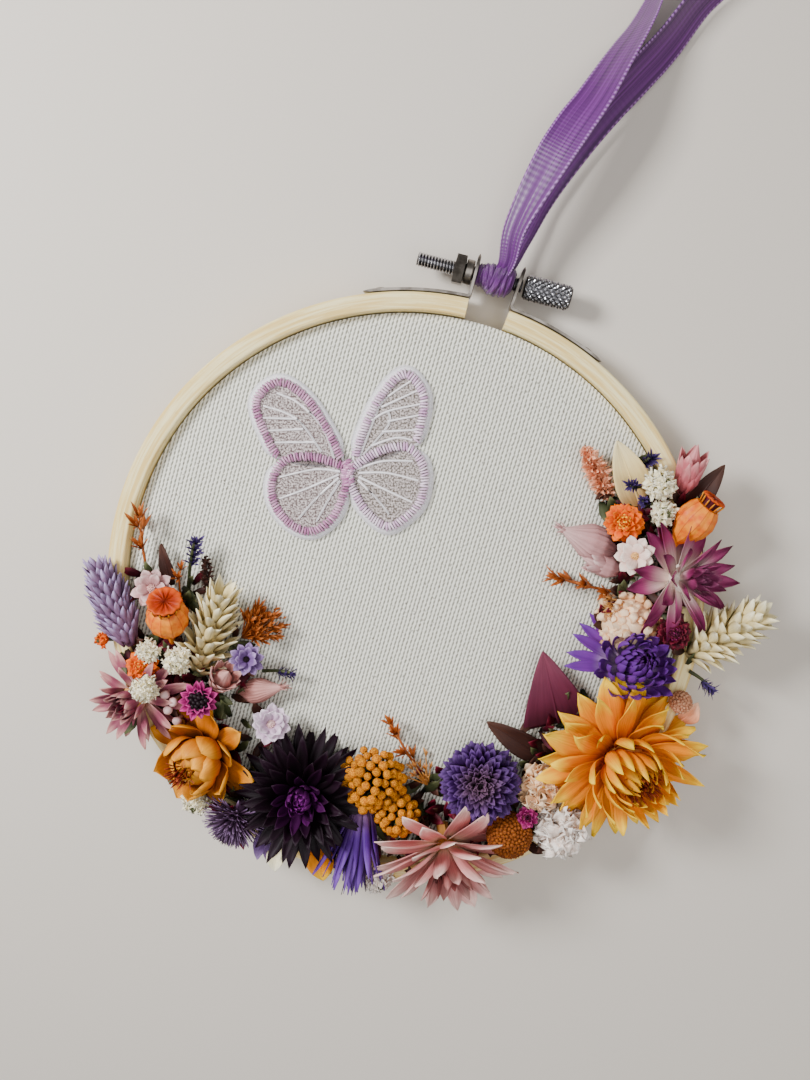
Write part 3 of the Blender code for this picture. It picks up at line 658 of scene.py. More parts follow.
# Where each flower stands, under the name of its node in the frame. Some lean or reach a few
# millimetres further than their solid does, as in the photograph.
FLOWERS = {
    # name: foot, tip, radius
    "strawflower_orange": ((-50.2, -40.6, ON_CLOTH), (-57.2, -44.2, 26.5), 15.0),
    "strawflower_mauve": ((-67.6, -25.4, 10), (-73.2, -27.2, 24.5), 12.6),
    "tuft_white_upper": ((-66.2, -14.4, ON_CLOTH), (-64.5, -11.7, 22), 3.4),
    "tuft_white_inner": ((-59.6, -18.2, ON_CLOTH), (-57.1, -14.2, 22), 4.0),
    "tuft_white_lower": ((-65.6, -24.4, ON_CLOTH), (-64.9, -21, 26), 3.8),
    "button_orange_left": ((-67.5, -18.8, ON_CLOTH), (-67.9, -16.6, 19), 4.8),
    "poppy_left": ((-61.2, -12.4, 10.0), (-59.0, 1.8, 22.8), 5.6),
    "daisy_pink": ((-65.0, 1.0, ON_CLOTH), (-63.8, 3.9, 18), 4.9),
    "canary_lilac": ((-71.6, -12.6, 13), (-78.8, 10.8, 16.5), 8.0),
    "canary_cream_left": ((-55.3, -21.3, ON_CLOTH), (-44.6, 4.1, 19), 6.3),
    "sprig_left": ((-67.2, 3.6, ON_CLOTH), (-66.6, 24.1, 14.5), 3.0),
    "lavender_left": ((-56.8, 1.8, ON_CLOTH), (-52.5, 15.9, 15), 3.3),
    "spray_rust": ((-42.8, -11.4, ON_CLOTH), (-33.7, -5.0, 13.5), 5.1),
    "daisy_violet": ((-41.4, -18.2, ON_CLOTH), (-39.7, -14.7, 18), 4.3),
    "bud_open": ((-50.3, -24.9, ON_CLOTH), (-43.8, -17.4, 20), 3.1),
    "bud_striated": ((-44.7, -26.8, ON_CLOTH), (-30, -23.2, 14), 3.6),
    "daisy_magenta": ((-53.7, -28.5, ON_CLOTH), (-51.6, -24.7, 22), 5.0),
    "daisy_lilac": ((-36, -36.2, ON_CLOTH), (-33.7, -32, 18), 5.0),
    "strawflower_plum": ((-26.8, -53.6, ON_CLOTH), (-25.6, -50.6, 26), 17.4),
    "thistle_grey": ((-42.5, -55.5, 13), (-47.4, -64.5, 21), 9.0),
    "tansy": ((-5.1, -54.4, ON_CLOTH), (-4.6, -51, 22), 10.6),
    "sprig_bottom": ((7.2, -52, ON_CLOTH), (-3.6, -30.8, 13), 3.0),
    "strawflower_violet_low": ((-10.6, -55.5, 13), (-13.4, -79.5, 17), 9.2),
    "strawflower_pink": ((10.6, -61.5, 11.5), (13.8, -75.0, 25.0), 18.4),
    "strawflower_blue": ((20.8, -50.2, ON_CLOTH), (20.5, -45.5, 25), 11.2),
    "ball_gold": ((28.2, -64, ON_CLOTH), (28.5, -61, 22), 6.0),
    "bud_magenta": ((33.4, -60.6, ON_CLOTH), (32.4, -54, 24), 3.1),
    "fluff_blush": ((37.2, -52.0, ON_CLOTH), (36.1, -48.5, 18), 4.5),
    "fluff_white": ((42.2, -62.2, ON_RING), (41, -59.5, 19), 5.6),
    "leaf_plum": ((41.4, -33.6, 10), (36.7, -13.3, 14), 8.1),
    "leaf_brown": ((38.9, -44.2, ON_CLOTH), (22.5, -32.6, 13), 3.6),
    "strawflower_gold": ((54.2, -39.2, ON_CLOTH), (61.2, -44.6, 27.5), 19.8),
    "strawflower_violet": ((58.8, -19.4, ON_CLOTH), (61.0, -11.2, 27.5), 12.4),
    "canary_cream_right": ((73.8, -14.7, ON_RING), (90.3, -1.6, 19), 5.7),
    "berries": ((69.3, -9.2, ON_CLOTH), (69.2, -7, 20), 4.8),
    "statice": ((58.9, -7.3, ON_CLOTH), (57.4, -5.5, 17), 8.6),
    "strawflower_magenta": ((64.6, 5.5, 10), (76.2, 7.3, 23.5), 13.6),
    "daisy_cream": ((60.2, 10.3, ON_CLOTH), (57.8, 13.1, 23), 4.6),
    "button_orange_right": ((57.4, 19.1, ON_CLOTH), (55.5, 21.2, 21), 5.4),
    "tuft_white_high": ((64, 28.4, ON_CLOTH), (65.1, 30.6, 21), 4.5),
    "tuft_white_low": ((66, 21.4, ON_CLOTH), (65.4, 23.2, 20), 4.0),
    "poppy_right": ((67.0, 12.2, 14), (77.8, 27.0, 19), 5.0),
    "bud_striped": ((55.9, 11.8, ON_CLOTH), (39.9, 18.9, 13.5), 5.1),
    "sprig_right": ((59, 0.9, ON_CLOTH), (37.3, 7.4, 13.5), 3.0),
    "plume_peach": ((53.6, 25.6, ON_CLOTH), (46.3, 39.4, 14), 4.2),
    "leaf_blush": ((61.7, 23.6, ON_CLOTH), (53.9, 40.7, 16), 4.8),
    "lavender_right": ((59.8, 32.6, ON_CLOTH), (62.6, 36.6, 17), 3.0),
    "bud_pink_right": ((71, 26.6, ON_RING), (73.4, 40.2, 18), 3.4),
    "leaf_dark": ((71.4, 21.4, ON_RING), (80.7, 34.6, 15), 3.5),
}

# Small scraps between the flowers. The frame has no nodes for these.
TRIMS = {
    # name: foot, tip, radius
    "sprig_left_small": ((-58.5, 0.1, 10), (-56.4, 8.9, 14), 2.3),
    "leaf_left_small": ((-60.8, 3.2, 10), (-62.6, 14.5, 12), 2.3),
    "plume_brown": ((-51.2, 1.3, 10), (-50.8, 11.5, 12), 2.6),
    "lavender_dark": ((-37.2, -20.1, 10), (-28.8, -20, 13), 2.3),
    "tuft_orange_left": ((-76.6, -11.1, 12), (-80.9, -10.6, 14), 2.4),
    "fuzz_cream": ((-53.8, -53.4, ON_RING), (-57.6, -57.6, 15.5), 4.4),
    "fuzz_white": ((-7.0, -75, ON_RING), (-6.6, -80.4, 13.5), 4.2),
    "spray_bottom": ((6.8, -51.4, 10), (4.3, -43.4, 14), 3.0),
    "bud_pink_low": ((57.1, 6.9, 10), (46, 11.3, 12), 3.4),
    "spray_right": ((59, -1.1, 12), (51.7, -2, 13), 3.0),
    "lavender_low": ((74.6, -18.8, ON_RING), (80.0, -23.2, 14.5), 2.3),
    "ball_blush": ((72.5, -26.5, 11), (71.8, -26.3, 17), 2.8),
    "petal_white": ((-34, -68.3, 11.6), (-34.7, -74.9, 14), 2.0),
    "petal_beige": ((73.2, -31.8, 12), (76.6, -26.6, 14), 2.4),
    "petal_lilac": ((-37.6, -64, 11.8), (-39.4, -71.5, 14), 3.2),
    "petal_lilac_low": ((-36.0, -65.0, 11.8), (-36.4, -73.0, 13), 3.0),
    "petal_orange": ((-22.2, -68.4, 12), (-21.6, -77.2, 14), 3.0),
    "lavender_clump": ((62.0, 29.2, 10), (57.2, 29.8, 17), 2.6),
    "lavender_mid": ((63.2, 24.2, 12), (60.2, 26.2, 18), 2.4),
}


SPOTS = FLOWERS | TRIMS


def place_of(name):
    """A flower's place, its spine's length, its radius and its own run of chances."""
    foot, tip, radius = SPOTS[name]
    length = (Vector(tip) - Vector(foot)).length
    return standing(foot, tip), length, radius, random.Random(name)


def rounded_section(inside, outside, low, high, corner):
    """The (radius, height) outline of a band with rounded corners."""
    points = []
    for centre_x, centre_z, start in (
        (outside - corner, low + corner, 270), (outside - corner, high - corner, 0),
        (inside + corner, high - corner, 90), (inside + corner, low + corner, 180),
    ):
        for step in range(4):
            angle = math.radians(start + 30 * step)
            points.append((centre_x + corner * math.cos(angle), centre_z + corner * math.sin(angle)))
    return points


def make_ring(name, section, start, sweep, finish):
    bm = blank()
    first = Matrix.Rotation(math.radians(start), 3, "Z")
    verts = [bm.verts.new(first @ Vector((radius, 0, height))) for radius, height in section]
    edges = [bm.edges.new(pair) for pair in zip(verts, verts[1:] + verts[:1])]
    bmesh.ops.spin(
        bm, geom=verts + edges, cent=(0, 0, 0), axis=(0, 0, 1), angle=math.radians(sweep),
        steps=RING_STEPS, use_merge=sweep >= 360,
    )
    bmesh.ops.remove_doubles(bm, verts=bm.verts, dist=0.001)
    open_edges = [edge for edge in bm.edges if edge.is_boundary]
    bmesh.ops.holes_fill(bm, edges=open_edges, sides=0)
    return settle(bm, name + "_wood", [finish], [name], sharp=60)


def make_canvas(finish):
    """The weave in relief: a point in each gap between the threads, and points on the threads."""
    bm = blank()
    reach = CLOTH_RADIUS + 3
    columns = int(2 * reach * UP_COLUMN.length / CELL)
    rows = int(2 * reach * ALONG_ROW.length / CELL)
    layer = bm.verts.layers.float_color[COURSE]
    verts = bmesh.ops.create_grid(bm, x_segments=2 * columns, y_segments=2 * rows, size=1)["verts"]
    outside = []
    for vert in verts:
        i = round(vert.co.x * columns)
        j = round(vert.co.y * rows)
        x, y = (ALONG_ROW * i + UP_COLUMN * j) / 2
        if i % 2:
            height = RELIEF * 0.6 if j % 2 else RELIEF
        else:
            height = RELIEF * 0.1 if j % 2 else -RELIEF
        height += 0.05 * noise.noise(Vector((x, y, 0)) * 0.8)
        out = math.hypot(x, y)
        edge = min(max((CLOTH_RADIUS - out) / 2.5, 0), 1)
        vert.co = (x, y, CLOTH_TOP + height * edge - 0.45 * (1 - edge) ** 2)
        vert[layer] = (0.5, 0.5, 0.5, 0)
        if out > CLOTH_RADIUS + ALONG_ROW.length:
            outside.append(vert)
    bmesh.ops.delete(bm, geom=outside, context="VERTS")
    for vert in bm.verts:
        out = math.hypot(vert.co.x, vert.co.y)
        if vert.is_boundary or out > CLOTH_RADIUS:
            vert.co.x *= CLOTH_RADIUS / out
            vert.co.y *= CLOTH_RADIUS / out
    bmesh.ops.remove_doubles(bm, verts=[v for v in bm.verts if v.is_boundary], dist=0.05)
    rim = [edge for edge in bm.edges if edge.is_boundary]
    for height, inset in ((5.0, 0.05), (SKIRT_LOW, 0.0), (SKIRT_LOW, 0.75), (CLOTH_UNDER - 0.5, 0.75),
                          (CLOTH_UNDER, 1.3)):
        grown = bmesh.ops.extrude_edge_only(bm, edges=rim)["geom"]
        rim = [item for item in grown if isinstance(item, bmesh.types.BMEdge)]
        for vert in (item for item in grown if isinstance(item, bmesh.types.BMVert)):
            angle = math.atan2(vert.co.y, vert.co.x)
            wave = 0.3 * math.sin(9 * angle) + 0.12 * math.sin(31 * angle)
            low = height + wave if height == SKIRT_LOW else height
            vert.co = round_point(CLOTH_RADIUS - inset, angle, low)
    bmesh.ops.holes_fill(bm, edges=rim, sides=0)
    piece = settle(bm, "canvas_cloth", [finish], ["canvas"], sharp=70)


def screw_place():
    return standing(SCREW_TIP, SCREW_END)


def make_screw(finish):
    """The machine screw with its thread cut in relief and a knob with a diamond knurl."""
    place = screw_place()
    length = (SCREW_END - SCREW_TIP).length
    knob = length - KNOB_LENGTH
    bm = blank()

    def threaded(s, a):
        z = a * (knob - 0.3)
        turn = (z / THREAD_PITCH - s / 2) % 1
        radius = SCREW_RADIUS - THREAD_DEPTH * abs(2 * turn - 1)
        radius *= min(1, z / 0.5 + 0.7)
        if at_end(a):
            radius = 0
        return place @ round_point(radius, math.pi * s, z)

    patch(bm, 20, 204, threaded, wrap=True)

    def knurled(s, a):
        z = a * KNOB_LENGTH
        up, down = (z / 1.5 + s * 5.5) % 1, (z / 1.5 - s * 5.5) % 1
        stud = min(abs(2 * up - 1), abs(2 * down - 1))
        radius = KNOB_RADIUS - KNURL * (1 - min(stud * 1.3, 1))
        ends = min(a, 1 - a) * KNOB_LENGTH
        radius = min(radius, KNOB_RADIUS - 0.9 + ends * 1.0)
        if at_end(a):
            radius = 0
        return place @ round_point(radius, math.pi * s, knob + z)

    patch(bm, 112, 76, knurled, wrap=True)
    settle(bm, "screw_metal", [finish], ["screw"], sharp=35)


def make_nut(finish):
    place = screw_place()
    bm = blank()
    start = NUT_END - COLLAR_LENGTH - NUT_LENGTH
    crown = NUT_FLAT * 1.12

    def faced(s, a):
        angle = math.pi * s
        z = start + NUT_LENGTH * a
        flat = NUT_FLAT / math.cos((angle + NUT_TURN) % (math.pi / 3) - math.pi / 6)
        radius = min(flat, crown + min(a, 1 - a) * NUT_LENGTH * 1.2)
        if at_end(a):
            radius = 0
        return place @ round_point(radius, angle, z)

    patch(bm, 72, 12, faced, wrap=True)
    edge = COLLAR_RADIUS - 0.25
    rows = (
        (NUT_END - COLLAR_LENGTH, 0), (NUT_END - COLLAR_LENGTH, edge),
        (NUT_END - COLLAR_LENGTH + 0.25, COLLAR_RADIUS), (NUT_END - 0.25, COLLAR_RADIUS),
        (NUT_END, edge), (NUT_END, 0),
    )
    turned(bm, place, rows, sides=48)
    settle(bm, "nut_metal", [finish], ["nut"], sharp=30)


def make_bracket(name, far, near, lug_direction, rivet_at, finish):
    """A strap along the ring's wall that bends out into its lug, with a rivet through the strap."""
    radius = HOOP_RADIUS + 0.3 + STEEL / 2
    out = round_point(1, math.radians(lug_direction), 0)
    corner = round_point(radius, math.radians(near), 0)
    steps = 16
    path = [round_point(radius, math.radians(far + (near - far) * i / steps), 0) for i in range(steps)]
    run = (corner - path[-1]).normalized()
    for step in range(5):
        share = step / 4
        path.append(corner - run * STEEL * (1 - share) ** 2 + out * STEEL * share ** 2)
    for reach in (3.0, 6.0, 8.5, 10.0, LUG_LENGTH):
        path.append(corner + out * reach)
    last = len(path) - 1
    middle = (STRAP_LOW + STRAP_HIGH) / 2
    half = (STRAP_HIGH - STRAP_LOW) / 2
    bm = blank()

    def shape(s, a):
        row = round(a * last)
        ahead = path[min(row + 1, last)] - path[max(row - 1, 0)]
        side = ahead.cross(Vector((0, 0, 1))).normalized()
        angle = math.pi * (s + 1)
        thick = max(-1, min(1, 1.6 * math.cos(angle))) * STEEL / 2
        tall = max(-1, min(1, 1.25 * math.sin(angle))) * half
        end = (path[last] - path[row]).length
        if end < 2.2 and row > steps:
            tall *= math.sqrt(max(1 - (1 - end / 2.4) ** 2, 0.18))
        if at_end(a):
            thick *= 0.2
        return path[row] + side * thick + Vector((0, 0, middle + tall))

    patch(bm, 24, last, shape, wrap=True)
    bmesh.ops.holes_fill(bm, edges=[edge for edge in bm.edges if edge.is_boundary], sides=0)
    ray = round_point(1, math.radians(rivet_at), 0)
    foot = ray * (radius + STEEL / 2 - 0.1) + Vector((0, 0, middle))
    dome = ((0, 0), (0, 1.5), (0.35, 1.4), (0.6, 1.0), (0.7, 0.5), (0.72, 0))
    turned(bm, standing(foot, foot + ray), dome, sides=20)
    settle(bm, name + "_metal", [finish], [name], sharp=40)


RIBBON = (
    # x, y, z, width, roll
    (25.4, 82.2, 8.7, 4.6, 20),
    (27.0, 84.8, 10.6, 4.8, 20),
    (29.0, 93.0, 12.6, 6.2, 20),
    (36.4, 106.6, 14.2, 9.2, 22),
    (41.5, 114.5, 14.2, 10.0, 25),
    (47.4, 122.6, 13.0, 10.0, 34),
    (53.5, 132.4, 9.8, 10.0, 48),
    (58.6, 140.2, 7.0, 10.0, 60),
    (61.8, 146.1, 5.7, 10.0, 68),
    (65.7, 154.1, 5.6, 10.0, 76),
    (70.1, 161.7, 5.6, 10.0, 84),
    (75.6, 168.2, 5.6, 10.0, 90),
    (82.7, 170.4, 5.6, 10.0, 90),
    (88.3, 166.6, 5.6, 10.0, 86),
    (88.3, 160.6, 5.5, 10.0, 74),
    (83.5, 154.4, 5.2, 10.0, 60),
    (73.9, 146.3, 4.9, 10.0, 52),
    (66.4, 136.9, 4.8, 10.0, 46),
    (59.3, 129.5, 4.6, 10.0, 42),
    (49.8, 119.7, 4.5, 9.6, 38),
    (38.3, 104.8, 4.3, 8.0, 34),
    (31.4, 92.1, 4.4, 5.6, 28),
    (28.0, 85.5, 5.0, 4.4, 20),
    (25.8, 82.4, 5.6, 4.0, 20),
)
RIBBON_WIDTH = 10.0
RIBBON_STEPS = 8


def ribbon_rows():
    """Each row's point and half width across, with pleats where the ribbon is drawn in."""
    points = curve_through([Vector(row[:3]) for row in RIBBON], RIBBON_STEPS)
    sizes = curve_through([Vector((row[3], row[4], 0)) for row in RIBBON], RIBBON_STEPS)
    last = len(points) - 1
    rows = []
    for i, (point, size) in enumerate(zip(points, sizes)):
        run = (points[min(i + 1, last)] - points[max(i - 1, 0)]).normalized()
        level = run.cross(Vector((0, 0, 1))).normalized()
        lean = math.radians(size.y)
        across = level * math.cos(lean) + level.cross(run) * math.sin(lean)
        rows.append((point, across * size.x / 2, run.cross(across).normalized(), size.x))
    return rows


def make_ribbon(finish):
    """The satin loop, and the hitch that wraps round the screw."""
    rows = ribbon_rows()
    last = len(rows) - 1
    bm = blank()

    def strand(s, a):
        point, across, face, width = rows[round(a * last)]
        drawn_in = 1 - width / RIBBON_WIDTH
        pleat = drawn_in * (0.9 * math.sin(4.6 * s + 0.8) + 0.35 * math.sin(11 * s + 9 * a))
        bow = 0.35 * (1 - s * s) * (1 - drawn_in)
        ripple = 0.12 * noise.noise(Vector((a * 40, s, 0)))
        return point + across * s + face * (pleat + bow + ripple)

    patch(bm, 20, last, strand, chance=0.3)
    loop = settle(bm, "ribbon_loop", [finish], ["ribbon"], thickness=0.35, sharp=80)
    length = sum((rows[i + 1][0] - rows[i][0]).length for i in range(last)) * MM

    place = screw_place()
    bm = blank()
    for start, end, inner, swell, twist, first, sweep, tone in HITCH:
        def wrap(s, a):
            angle = math.radians(first + sweep * a)
            z = (start + end) / 2 + s * (end - start) / 2 + twist * (a - 0.5)
            fold = 0.22 * math.sin(9 * s + 6 * a) + 0.12 * math.sin(19 * s - 11 * a)
            edge = 1 - s ** 4
            radius = inner + swell * (1 - s * s) + fold * edge
            return place @ round_point(radius, angle, KNOT_AT + z)

        patch(bm, 22, 60, wrap, chance=tone)
    settle(bm, "ribbon_hitch", [finish], (), thickness=0.35, sharp=80)


HITCH = (
    # from, to along the screw, inner radius, swell, lead, first angle, sweep, shade
    (-4.9, -2.6, 2.25, 0.3, 0.2, 0, 352, 0.0),
    (-3.2, 0.8, 2.3, 1.0, 1.4, 20, 350, 0.6),
    (0.2, 4.2, 2.35, 1.5, -1.0, -40, 352, 0.8),
    (-1.8, 2.8, 3.0, 1.0, -2.4, 40, 170, 0.9),
)

# The butterfly's body, a row of stitches down from its top
BODY = Vector((-13.6, 34.2, 0))
BODY_TOP = 1.6
BODY_STEP = 0.19
BODY_STITCHES = 34
BODY_STITCH_LENGTH = 2.4

# Stitched outlines of the wings, from the body and back to it
WINGS = {
    "upper_left": ((-14.7, 34.7), (-18.3, 43.1), (-24.1, 52.0), (-31.1, 56.0), (-37.0, 51.0),
                   (-34.6, 42.2), (-29.8, 36.1)),
    "upper_right": ((-12.2, 34.4), (-9.5, 43.4), (-4.3, 53.0), (1.7, 57.8), (6.2, 52.0),
                    (4.9, 43.3), (2.4, 39.4)),
    "lower_left": ((-14.4, 34.2), (-22.5, 36.8), (-29.8, 36.0), (-33.4, 30.7), (-33.0, 24.6),
                   (-28.7, 19.1), (-22.9, 17.4), (-17.3, 21.5), (-14.2, 29.0), (-13.8, 33.0)),
    "lower_right": ((-12.4, 34.0), (-4.8, 38.4), (2.4, 39.0), (6.2, 33.3), (5.3, 25.5),
                    (1.1, 20.8), (-3.7, 18.6), (-9.1, 22.8), (-12.6, 29.0), (-13.2, 33.0)),
}
VEINS = (
    ((-11.0, 35.4), (-7.1, 45.1), (-4.2, 51.0), (3.0, 56.0)),
    ((-4.7, 49.4), (4.7, 53.6)),
    ((-7.4, 46.0), (-3.0, 48.4), (5.2, 50.1)),
    ((-3.0, 48.4), (-3.0, 44.8), (-9.6, 37.2)),
    ((-3.2, 45.8), (4.9, 47.3)),
    ((-4.6, 43.2), (4.4, 43.6)),
    ((-7.4, 39.6), (-1.2, 41.6), (3.2, 41.0)),
    ((-17.1, 36.4), (-19.9, 44.2), (-25.9, 50.5), (-31.6, 53.2)),
    ((-20.4, 38.1), (-26.6, 46.6), (-35.2, 50.0)),
    ((-26.6, 46.6), (-35.4, 46.9)),
    ((-25.0, 44.0), (-34.6, 43.6)),
    ((-22.0, 40.6), (-32.4, 40.6)),
    ((-15.6, 33.0), (-22.0, 33.6), (-31.4, 31.6)),
    ((-16.0, 32.2), (-24.4, 28.6), (-31.6, 26.0)),
    ((-16.0, 31.4), (-22.0, 26.0), (-26.6, 20.8)),
    ((-15.6, 30.6), (-18.6, 26.0), (-22.0, 20.0)),
    ((-11.2, 33.6), (-4.6, 35.6), (3.2, 35.6)),
    ((-10.8, 32.6), (-3.6, 32.6), (4.6, 30.6)),
    ((-10.8, 31.6), (-4.6, 28.6), (3.0, 25.0)),
    ((-11.0, 30.8), (-6.6, 26.4), (-3.0, 21.8)),
)
STITCH_LENGTH = 2.7
STITCH_STEP = 0.74
STITCH_THICK = 0.36
MARGIN = 0.9
SHEER_AT = 9.0
THREAD_TOP = 0.95


def outline_of(wing, steps=10):
    """A wing's closed outline, from the body round and back."""
    points = [Vector((x, y, 0)) for x, y in WINGS[wing]]
    return curve_through(points + [points[0]], steps)


def spaced(points, step):
    """Points along a line at an even spacing, each with the line's direction there."""
    found = []
    left = 0.0
    for start, end in zip(points, points[1:]):
        run = end - start
        length = run.length
        while left < length:
            found.append((start + run * left / length, run.normalized()))
            left += step
        left -= length
    return found


def make_butterfly(sheer, shaded_sheer, light, dark, vein_finish):
    """Four sheer wings with a satin-stitched outline and thin raised veins."""
    for wing in WINGS:
        points = outline_of(wing)
        bm = blank()
        layer = bm.verts.layers.float_color[COURSE]
        rim = [bm.verts.new(point + Vector((0, 0, SHEER_AT))) for point in points[:-1]]
        for vert in rim:
            vert[layer] = (0, 0, 0, 0)
        face = bm.faces.new(rim)
        face.normal_update()
        outward = {}
        for loop in face.loops:
            spot = loop.vert.co
            reach = min(MARGIN + STITCH_LENGTH / 2, gap_to_others(wing, spot) / 2)
            outward[tuple(spot)] = -loop.calc_tangent() * reach
        grown = bmesh.ops.extrude_edge_only(bm, edges=face.edges)["geom"]
        for vert in (item for item in grown if isinstance(item, bmesh.types.BMVert)):
            vert.co += outward[tuple(vert.co)]
            vert[layer] = (1, 0, 0, 0)
        bmesh.ops.triangulate(bm, faces=bm.faces)
        stands_for = ["butterfly"] if wing == "upper_left" else ()
        finish = sheer if wing.endswith("right") else shaded_sheer
        piece = settle(bm, "wing_" + wing, [finish], stands_for, thickness=0.12)
    for side, finish in (("left", dark), ("right", light)):
        bm = blank()
        chance = random.Random(side)
        for wing in WINGS:
            if wing.endswith(side):
                for point, run in spaced(outline_of(wing), STITCH_STEP):
                    if wing.startswith("lower") or gap_to_others(wing, point) > STITCH_LENGTH * 0.75:
                        stitch(bm, point, run, STITCH_LENGTH, chance)
        settle(bm, "stitches_" + side, [finish])
    bm = blank()
    chance = random.Random("body")
    for i in range(BODY_STITCHES):
        point = BODY + Vector((chance.uniform(-1.0, 1.0), BODY_TOP - i * BODY_STEP, 0.25))
        run = Vector((chance.uniform(-0.5, 0.5), 1, 0)).normalized()
        stitch(bm, point, run, BODY_STITCH_LENGTH, chance)
    settle(bm, "stitches_body", [dark])
    bm = blank()
    for vein in VEINS:
        points = curve_through([Vector((x, y, SHEER_AT + 0.16)) for x, y in vein], 5)
        tube(bm, points, 0.34, 0.26, sides=6, chance=1.0)
    settle(bm, "veins", [vein_finish])


def gap_to_others(wing, spot):
    """How far a point of one wing is from the outlines of the other three."""
    at = Vector((spot.x, spot.y, 0))
    return min((point - at).length for other in WINGS if other != wing for point in outline_of(other, 5))


def stitch(bm, point, run, length, chance):
    """One raised strand of thread across a line."""
    side = Vector((run.y, -run.x, 0))
    side.rotate(Matrix.Rotation(chance.uniform(-0.12, 0.12) + 0.12, 3, "Z"))
    half = length / 2 * chance.uniform(0.92, 1.08)
    wide = run * STITCH_THICK * chance.uniform(0.85, 1.1)

    def shape(s, a):
        reach = 2 * a - 1
        angle = math.pi * s
        arch = THREAD_TOP * math.sqrt(max(1 - reach * reach, 0))
        body = 0.0 if at_end(a) else 1 - reach ** 6
        rise = Vector((0, 0, SHEER_AT + arch + 0.26 * math.sin(angle) * body))
        return point + side * half * reach + wide * math.cos(angle) * body * 0.8 + rise

    patch(bm, 6, 6, shape, chance=chance.random(), wrap=True)


HABITS = {
    # from the heart to the rim: length, width, out, up, opening, curl, cup
    "gold": ((0.26, 0.06, 0.04, 0.56, 10, -40, 0.5), (0.52, 0.11, 0.14, 0.54, 36, -80, 0.5),
             (0.74, 0.14, 0.22, 0.50, 54, -92, 0.5), (0.82, 0.18, 0.28, 0.44, 68, -80, 0.4),
             (0.82, 0.26, 0.28, 0.38, 80, -14, 0.25), (0.98, 0.33, 0.22, 0.32, 90, 8, 0.15),
             (0.98, 0.34, 0.18, 0.28, 94, 8, 0.1)),
    "orange": ((0.25, 0.05, 0.05, 0.60, 10, 20, 0.2), (0.60, 0.46, 0.18, 0.44, 40, -112, 0.6),
               (0.76, 0.58, 0.24, 0.38, 60, -122, 0.6), (0.82, 0.60, 0.28, 0.32, 76, -116, 0.5),
               (0.78, 0.46, 0.28, 0.28, 84, -16, 0.3), (0.90, 0.42, 0.22, 0.24, 98, 6, 0.2)),
    "dome": ((0.35, 0.08, 0.05, 0.62, 10, 0, 0.3), (0.54, 0.15, 0.12, 0.54, 34, -80, 0.5),
             (0.74, 0.19, 0.18, 0.46, 50, -92, 0.5), (0.90, 0.23, 0.22, 0.36, 64, -92, 0.5),
             (0.98, 0.24, 0.24, 0.26, 78, -88, 0.5), (0.96, 0.24, 0.24, 0.20, 90, -78, 0.4)),
    "barrel": ((0.25, 0.05, 0.05, 0.50, 0, 20, 0.2), (0.50, 0.20, 0.18, 0.50, 8, -15, 0.6),
               (0.60, 0.24, 0.26, 0.44, 14, -22, 0.6), (0.85, 0.22, 0.22, 0.36, 70, 6, 0.4),
               (1.0, 0.22, 0.18, 0.30, 92, 8, 0.3), (1.02, 0.22, 0.16, 0.26, 100, 10, 0.3)),
    "star": ((0.34, 0.08, 0.06, 0.62, 8, -20, 0.5), (0.58, 0.18, 0.12, 0.60, 20, -26, 0.6),
             (0.84, 0.26, 0.14, 0.54, 36, -8, 0.5), (1.00, 0.30, 0.14, 0.46, 60, 4, 0.4),
             (1.05, 0.32, 0.12, 0.40, 84, 8, 0.35), (1.08, 0.32, 0.10, 0.34, 96, 10, 0.3)),
    "brush": ((2.10, 0.14, 0.04, 0.10, 3, 2, 0.4), (2.20, 0.18, 0.12, 0.08, 9, -4, 0.4),
              (2.24, 0.22, 0.20, 0.05, 16, -12, 0.4), (2.10, 0.24, 0.26, 0.02, 23, -20, 0.4)),
    "pink": ((0.44, 0.12, 0.10, 0.48, 8, -10, 0.5), (0.66, 0.22, 0.14, 0.44, 24, -4, 0.5),
             (0.86, 0.28, 0.16, 0.38, 46, 4, 0.4), (1.02, 0.30, 0.14, 0.32, 68, 8, 0.35),
             (1.02, 0.30, 0.12, 0.26, 82, 8, 0.35), (0.80, 0.32, 0.10, 0.24, 96, 4, 0.3)),
    "fine": ((0.26, 0.10, 0.04, 0.60, 10, -60, 0.5), (0.46, 0.15, 0.12, 0.58, 34, -50, 0.5),
             (0.74, 0.19, 0.16, 0.50, 50, -4, 0.5), (0.92, 0.20, 0.16, 0.40, 74, 14, 0.4),
             (0.96, 0.20, 0.12, 0.28, 96, 18, 0.3)),
    "thistle": ((0.60, 0.06, 0.04, 0.50, 3, 6, 0.3), (0.70, 0.08, 0.14, 0.46, 28, 8, 0.3),
                (0.76, 0.09, 0.24, 0.38, 56, 8, 0.3), (0.76, 0.09, 0.26, 0.28, 92, 10, 0.3)),
    "pompon": ((0.30, 0.13, 0.06, 0.86, 6, 20, 0.5), (0.34, 0.16, 0.30, 0.80, 30, 20, 0.5),
               (0.38, 0.18, 0.50, 0.66, 56, 18, 0.5), (0.38, 0.18, 0.60, 0.48, 82, 18, 0.4),
               (0.36, 0.16, 0.58, 0.32, 104, 16, 0.4)),
    "button": ((0.30, 0.22, 0.10, 0.86, 4, -20, 0.5), (0.46, 0.34, 0.24, 0.80, 34, 0, 0.5),
               (0.60, 0.40, 0.36, 0.70, 68, 14, 0.4), (0.60, 0.38, 0.34, 0.60, 98, 20, 0.3)),
}

